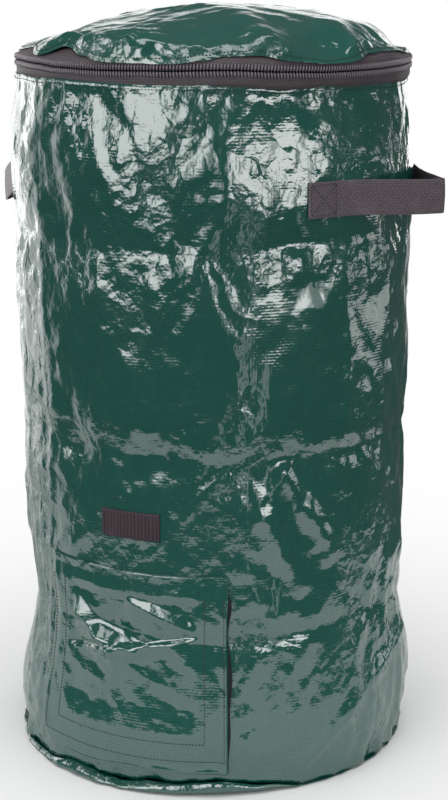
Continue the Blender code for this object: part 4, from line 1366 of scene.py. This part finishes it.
def flap_lift(angle, height):
    """How far the flap's outside stands off the wall's slow shape: by its tapes, its
    curled edges, facets, and four shelves where it bulges over the opening."""
    folded = unit((height - FOLD_START) / (FOLD_END - FOLD_START))
    lift = TAPE_LIFT + FILM + (FOLD_LIFT - TAPE_LIFT) * folded
    aside = around(angle, 0.0)
    edge = (FLAP_HALF - aside) * BELLY_RADIUS
    hanging = unit((FOLD_START - height) / 0.02)
    right_curl = 0.0034 * bump(edge - 0.004, 0.005) - 0.0042 * unit(1.0 - edge / 0.003)
    foot_curl = 0.0018 * kink(height - FLAP_BOTTOM, 0.005)
    foot_curl = foot_curl * (1.0 + 0.7 * ripple(angle, 0.0 * height, 0.06, 171))
    over_opening = inside(aside, -0.33, 0.33, 0.045) * inside(height, 0.102, 0.222, 0.026)
    over_opening = over_opening * inside(height, 0.07, 0.224, 0.012)
    rough = 0.45 + 0.55 * unit((height - 0.115) / 0.03)
    dents = 0.075 * crumple(aside + 0.04 * np.sin(40.0 * height), height, 0.07, 0.7, 181)
    dents = dents + 0.06 * crumple(aside, height + 0.1 * aside, 0.036, 0.7, 191)
    small = 0.07 * crumple(aside, height, 0.019, 0.9, 201)
    small = small * unit(0.2 + ripple(angle, height, 0.08, 172))
    facets = rough * (dents + small)
    diagonal = shelf(0.236 - 0.094 * aside - height, 0.01, 0.02) * inside(aside, 0.04, 0.38, 0.06)
    lump = shelf(0.171 - 0.146 * aside - height, 0.019, 0.012) * inside(aside, -0.3, -0.08, 0.05)
    wedge = shelf(0.18 - 0.05 * aside - height, 0.012, 0.01) * inside(aside, -0.15, 0.06, 0.06)
    valley = shelf(0.172 + 0.045 * aside - height, 0.004, 0.045)
    above = kink(np.maximum(height - 0.172 - 0.045 * aside, 0.0), 0.012)
    shape = 0.0046 * diagonal + 0.0095 * lump + 0.006 * wedge + 0.0052 * valley - 0.002 * above
    shape = over_opening * (shape + facets - 0.0025) + (1.0 - over_opening) * 0.25 * facets
    shape = np.maximum(shape, -0.0004 - 0.009 * over_opening)
    shape = shape * np.clip((FOLD_END - height) / 0.02, 0.05, 1.0)
    return lift + right_curl * hanging + foot_curl + shape


def slow_wall(angle, height, lift=0.0):
    """The wall's slow shape, without its crumples."""
    radius = eased(height, WALL_STATIONS, WALL_RADII) + hang(angle, height) + lift
    return round_point(angle, radius, height)


def flap_point(angle, height, lift=0.0):
    """A point on the flap's outside."""
    return slow_wall(angle, height, flap_lift(angle, height) + lift)


flap_turns = np.concatenate([
    np.linspace(-FLAP_HALF, FLAP_HALF - 0.03, 132)[:-1],
    np.linspace(FLAP_HALF - 0.03, FLAP_HALF, 10),
])
flap_rows = np.linspace(FLAP_BOTTOM, FLAP_TOP - 0.001, 134)
bow = 0.0016 * np.sin(flap_turns * 9.0 + 0.6)[None, :]
flap_heights = flap_rows[:, None] + bow * (flap_rows[:, None] < 0.05)
flap_points = flap_point(flap_turns[None, :], flap_heights)
flap = add_sheet("flap_film", flap_points, straight_map(flap_turns, flap_rows), wall_finish, "flap")
flap_crushed = unit(ripple(flap_turns[None, :], flap_heights, 0.1, 173))
mark_crushed(flap, 0.08 + 0.3 * flap_crushed)
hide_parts("harvest_flap")
print("flap faces:", len(flap.data.polygons))

# %% Strips laid on the wall
def painted_shadow_peek(height):
    """How far the wall's grip tape shows past the flap's right edge as a painted shadow: three bell
    curves.
    """
    high = 0.0042 * bump(height - 0.222, 0.018) + 0.0044 * bump(height - 0.138, 0.032)
    return 0.003 + high + 0.0022 * bump(height - 0.075, 0.02)


def add_strip(name, node, finish, body, turns, heights, lift, thick,
              under=wall_point, size=0.004, peek=None):
    """A strip with its face towards the wall lying at this lift over it. Peek says how
    much further its right edge reaches at each height."""
    columns = np.linspace(*turns, max(4, int((turns[1] - turns[0]) * BELLY_RADIUS / size)))
    rows = np.linspace(*heights, max(4, int((heights[1] - heights[0]) / size)))
    share = (columns - turns[0]) / (turns[1] - turns[0])
    further = peek(rows) if peek else 0.0 * rows
    spread = columns[None, :] + further[:, None] / BELLY_RADIUS * share[None, :] ** 2
    points = under(spread, rows[:, None] + 0.0 * spread, lift + thick)
    strip = add_sheet(name, points, straight_map(columns, rows), finish, body, thick=thick)
    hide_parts(node)
    return strip


TAPE_OUTER = FLAP_HALF - 0.003 / BELLY_RADIUS
TAPE_INNER = TAPE_OUTER - GRIP_WIDTH / BELLY_RADIUS
GRIP_LOW = 0.042
GRIP_THICK = 0.0012
reach_in = TAPE_INNER - 0.005
# The right loop strip reaches past the flap's edge, and its nearly black colour there is painted
# shadow.
for kind, lift, body, finish, peek in (
    ("loop", 0.0006, "bag", grip_loop_and_shadow_finish, painted_shadow_peek), ("hook", 0.0018, "flap", hook_finish, None),
):
    for side, turns, top, edge in (
        ("right", (TAPE_INNER, TAPE_OUTER), FOLD_START, peek),
        ("left", (-TAPE_OUTER, -TAPE_INNER), FOLD_START, None),
        ("bottom", (-reach_in, reach_in), GRIP_LOW + GRIP_WIDTH, None),
    ):
        add_strip(
            f"{kind}_strip_{side}", f"{kind}_tape_{side}", finish, body,
            turns, (GRIP_LOW, top), lift, GRIP_THICK, slow_wall, peek=edge)

add_strip(
    "flap_fold", "flap_seam_fold", wall_finish, "bag",
    (-FLAP_HALF, FLAP_HALF), (FOLD_END, FLAP_TOP - GAP), GAP, 0.0005, slow_wall, 0.003)
add_strip(
    "holder_patch", "flap_holder_patch", patch_finish, "bag",
    PATCH_SPAN, (PATCH_LOW, PATCH_HIGH), 0.0004, 0.0014, wall_point, 0.002)

# %% Flap and patch stitches
def line_on(surface, turns, heights, lift):
    """A polyline of angles and heights, filled in every millimetre or so, on a surface."""
    corners = np.stack([turns, heights], axis=1)
    reached = reached_along(corners * (BELLY_RADIUS, 1.0))
    where = np.linspace(0.0, reached[-1], max(8, int(reached[-1] / 0.0012)))
    angle, height = read_off(where, reached, corners).T
    line = surface(angle, height, lift)
    return line, outward_of(line)


SEAM_IN = 0.002
THREAD_LIFT = 0.0002
turned_in = SEAM_IN / BELLY_RADIUS
for row, turn, low in (
    ("outer", TAPE_OUTER - turned_in, GRIP_LOW + SEAM_IN),
    ("inner", TAPE_INNER + turned_in, GRIP_LOW + GRIP_WIDTH - SEAM_IN),
):
    frame_turns, frame_heights = (-turn, -turn, turn, turn), (FOLD_START, low, low, FOLD_START)
    row_line = line_on(flap_point, frame_turns, frame_heights, THREAD_LIFT)
    add_stitches(f"flap_{row}_stitches", [row_line], "flap", f"flap_{row}_stitching")

left, right = PATCH_SPAN[0] + turned_in, PATCH_SPAN[1] - turned_in
low, high = PATCH_LOW + SEAM_IN, PATCH_HIGH - SEAM_IN
patch_frame = line_on(
    wall_point, (left, left, right, right, left), (low, high, high, low, low), 0.0019)
add_stitches("patch_stitches", [patch_frame], "bag", "holder_patch_stitching")

# %% [markdown]
# ## The webbing handles
#
# Each handle is one length of 38 mm webbing, its two ends sewn flat to the wall. The
# free part stands out like a beak. Its profile is a flat bar with rounded edges, carried
# along a path: along the wall, out, round a tight bend and back. It droops a little.

# %% Strap path
STRAP_WIDTH = 0.038
STRAP_THICK = 0.0016
STRAP_TACK_START = math.radians(51.311)
STRAP_TACK_END = math.radians(60.546)
STRAP_REACH = 0.2795
STRAP_BEND = 0.0065
STRAP_DROOP = 0.0045
STRAP_LEVEL = 0.5 * (HANDLE_LOW + HANDLE_HIGH)


def strap_path():
    """Half the path in plan: an arc on the wall, a bowed run outwards and a round bend."""
    tack = np.linspace(STRAP_TACK_START, STRAP_TACK_END, 22)
    off = 0.0004 + 0.5 * STRAP_THICK
    on_wall = wall_point(tack, np.full(tack.shape, STRAP_LEVEL), off)[:, :2]
    start = on_wall[-1]
    heading = sized(on_wall[-1:] - on_wall[-2:-1])[0]
    bend_start = np.array([STRAP_REACH - STRAP_BEND, -STRAP_BEND])
    first = start + heading * 0.02
    last = bend_start - np.array([0.5, 0.86]) * 0.03
    t = np.linspace(0.0, 1.0, 42)[1:, None]
    run = (1 - t) ** 3 * start + 3 * (1 - t) ** 2 * t * first
    run = run + 3 * (1 - t) * t * t * last + t ** 3 * bend_start
    lead = -0.5 * math.pi + 0.5
    turn = np.linspace(lead, 0.0, 10)[1:, None]
    centre = bend_start - STRAP_BEND * np.array([math.cos(lead), math.sin(lead)])
    bend = centre + STRAP_BEND * np.concatenate([np.cos(turn), np.sin(turn)], axis=1)
    bend = bend - np.array([0.0, bend[-1, 1]]) * ((turn - turn[0]) / (turn[-1] - turn[0]))
    half = np.concatenate([on_wall, run, bend])
    back = half[::-1][1:] * np.array([1.0, -1.0])
    return np.concatenate([half, back]), len(tack)


path, tack_count = strap_path()
strap_reached = reached_along(path)
strap_run = sized(np.gradient(path, axis=0))
strap_out = np.stack([strap_run[:, 1], -strap_run[:, 0]], axis=1)
print("strap length:", round(float(strap_reached[-1]), 4), "m")


def strap_surface(where, across, off):
    """A point at a length along the strap, so far up its width and so far off its middle."""
    share = where / strap_reached[-1]
    droop = STRAP_DROOP * np.sin(math.pi * unit((share - 0.12) / 0.76)) ** 2
    wave_off = 0.0006 * np.sin(60.0 * where + 1.0) * unit(np.sin(math.pi * share))
    cup = 0.0008 * np.cos(across / STRAP_WIDTH * math.pi) * np.sin(math.pi * share)
    outward = read_off(where, strap_reached, strap_out) * (off + wave_off + cup)[..., None]
    x, y = np.moveaxis(read_off(where, strap_reached, path) + outward, -1, 0)
    return np.stack([x, y, STRAP_LEVEL + across - droop + 0.0 * x], axis=-1)


# %% Straps
def strap_section(count=9):
    """A flat bar with rounded edges, as distances up its width and off its middle."""
    half = 0.5 * STRAP_WIDTH - 0.5 * STRAP_THICK
    rows = np.linspace(-half, half, count)
    arc = np.linspace(-0.5 * math.pi, 0.5 * math.pi, 5)[1:-1]
    edge = 0.5 * STRAP_THICK
    front = np.stack([rows, np.full(count, edge)], axis=1)
    top = np.stack([half + edge * np.cos(arc), -edge * np.sin(arc)], axis=1)
    back = np.stack([rows[::-1], np.full(count, -edge)], axis=1)
    foot = np.stack([-half - edge * np.cos(arc), edge * np.sin(arc)], axis=1)
    return np.concatenate([front, top, back, foot])


def half_turned(points):
    """The same points half a turn round the bag."""
    return points * np.array([-1.0, -1.0, 1.0])


section = strap_section()
stations = np.linspace(0.0, strap_reached[-1], 150)
strap_grid = strap_surface(stations[None, :], section[:, 0][:, None], section[:, 1][:, None])
strap_grid = np.concatenate([strap_grid, strap_grid[:1]], axis=0)
up_map = np.concatenate([section[:, 0], section[:1, 0]])
strap_map = np.stack(np.meshgrid(stations, up_map), axis=-1)


def closed_strap(name, node, grid):
    """A tube over the grid of a closed profile, with its two ends capped."""
    rows, columns = grid.shape[:2]
    corner_rows, corner_columns = grid_corners(rows, columns, False)
    faces = ((corner_rows % (rows - 1)) * columns + corner_columns).tolist()
    spots = strap_map[corner_rows, corner_columns].reshape(-1, 2)
    first_end = [row * columns for row in range(rows - 1)]
    last_end = [row * columns + columns - 1 for row in range(rows - 1)][::-1]
    faces += [first_end, last_end]
    ends = np.concatenate([strap_map[:-1, 0], strap_map[:-1, -1][::-1]])
    spots = np.concatenate([spots, ends])
    strap = add_piece(name, grid[:-1].reshape(-1, 3), faces, spots, webbing_finish, "bag")
    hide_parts(node)
    return strap


def pulled(points, out, down, rear_down=0.0):
    """The free part of a strap drawn further out and down, as an easy ramp from the wall,
    and its rear leg down by a little more."""
    aside = np.abs(points[..., :1])
    ramp = unit((aside - 0.225) / 0.05)
    rear = unit(points[..., 1:2] / 0.06) * unit((aside - 0.19) / 0.03)
    return points + ramp * np.array([out, 0.0, -down]) - rear * np.array([0.0, 0.0, rear_down])


left_grid = half_turned(strap_grid)
closed_strap("right_strap", "right_handle", pulled(strap_grid, 0.0025, 0.001, 0.0045))
closed_strap("left_strap", "left_handle", pulled(left_grid, -0.0065, 0.018, -0.01))

# %% Boxes of stitching on the strap ends
TACK_LENGTH = float(strap_reached[tack_count - 1])
TACK_INSET = 0.003


def tack_lines(start, end):
    """A box with its two diagonals, sewn through the strap's end."""
    reach_up = 0.5 * STRAP_WIDTH - TACK_INSET
    near, far = start + TACK_INSET, end - TACK_INSET
    box = ((near, -reach_up), (near, reach_up), (far, reach_up), (far, -reach_up))
    corners = (*box, box[0], box[2], box[3], box[1])
    t = np.linspace(0.0, 1.0, 30)
    lines = []
    for (s0, w0), (s1, w1) in zip(corners[:-1], corners[1:]):
        where, across = s0 + (s1 - s0) * t, w0 + (w1 - w0) * t
        line = strap_surface(where, across, 0.5 * STRAP_THICK + THREAD_LIFT)
        back = strap_surface(where, across, 0.5 * STRAP_THICK - 0.0008)
        lines.append((line, sized(line - back)))
    return lines


strap_end = strap_reached[-1]
ends = (tack_lines(0.0, TACK_LENGTH), tack_lines(strap_end - TACK_LENGTH, strap_end))
turned_ends = [[(half_turned(line), half_turned(out)) for line, out in end] for end in ends]
for side, places, sewn in (
    ("right", ("front", "rear"), ends), ("left", ("rear", "front"), turned_ends),
):
    for place, lines in zip(places, sewn):
        name, node = f"{side}_strap_{place}_stitches", f"{side}_handle_{place}_stitching"
        add_stitches(name, lines, "bag", node)

# %% [markdown]
# ## What shows inside
#
# With the lid open one sees the wall's own seam at the back, turned in and sewn down,
# and the binding over the base seam. The flap's top seam shows inside too.

# %% Inside seams
def add_inside_stitches(name, line, out, node):
    """A seam on the wall's inside: the same stitches, facing the other way."""
    add_stitches(name, [(line[::-1], -out)], "bag", node)


seam_half = 0.009 / BELLY_RADIUS
add_strip(
    "side_seam", "side_seam_allowance", wall_finish, "bag",
    (math.pi - seam_half, math.pi + seam_half), (0.0285, 0.7745), -0.0024, 0.001,
    wall_point, 0.005)
back_line = line_on(wall_point, (math.pi, math.pi), (0.031, 0.772), -0.0026)
add_inside_stitches("side_seam_stitches", *back_line, "side_seam_stitching")

binding_rows = np.linspace(BASE_SEAM + 0.002, BASE_SEAM + 0.0145, 5)
binding_levels = binding_rows[:, None] + seam_height(turn_grid) - BASE_SEAM
binding_points = wall_point(turn_grid, binding_levels, -0.0018)
binding = add_sheet(
    "base_binding", binding_points, straight_map(angles, binding_rows), binding_finish, "bag",
    thick=0.001, closed=True)
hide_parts("base_seam_binding")
base_line = wall_point(full_turn, seam_height(full_turn) + 0.007, -0.0031)
add_inside_stitches(
    "base_stitches", base_line, outward_of(base_line), "base_seam_stitching")
flap_side, flap_seam = FLAP_HALF - 0.013, 0.2515
flap_line = line_on(wall_point, (-flap_side, flap_side), (flap_seam, flap_seam), -0.0014)
add_inside_stitches("flap_seam_stitches", *flap_line, "flap_seam_stitching")

# %% [markdown]
# ## The slider, its pull and the end stops
#
# These are small metal pieces whose solids are already right. They only need their
# lacquer, scuffed a little where fingers and the coils rub it.

# %% Lacquer on the metal
stops = [f"{row}_zipper_stop_{side}" for row in ("lower", "upper") for side in ("left", "right")]
for node in ("zipper_slider", "zipper_pull", *stops):
    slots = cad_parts[node].material_slots
    if slots:
        slots[0].material = metal_finish
    else:
        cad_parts[node].data.materials.append(metal_finish)
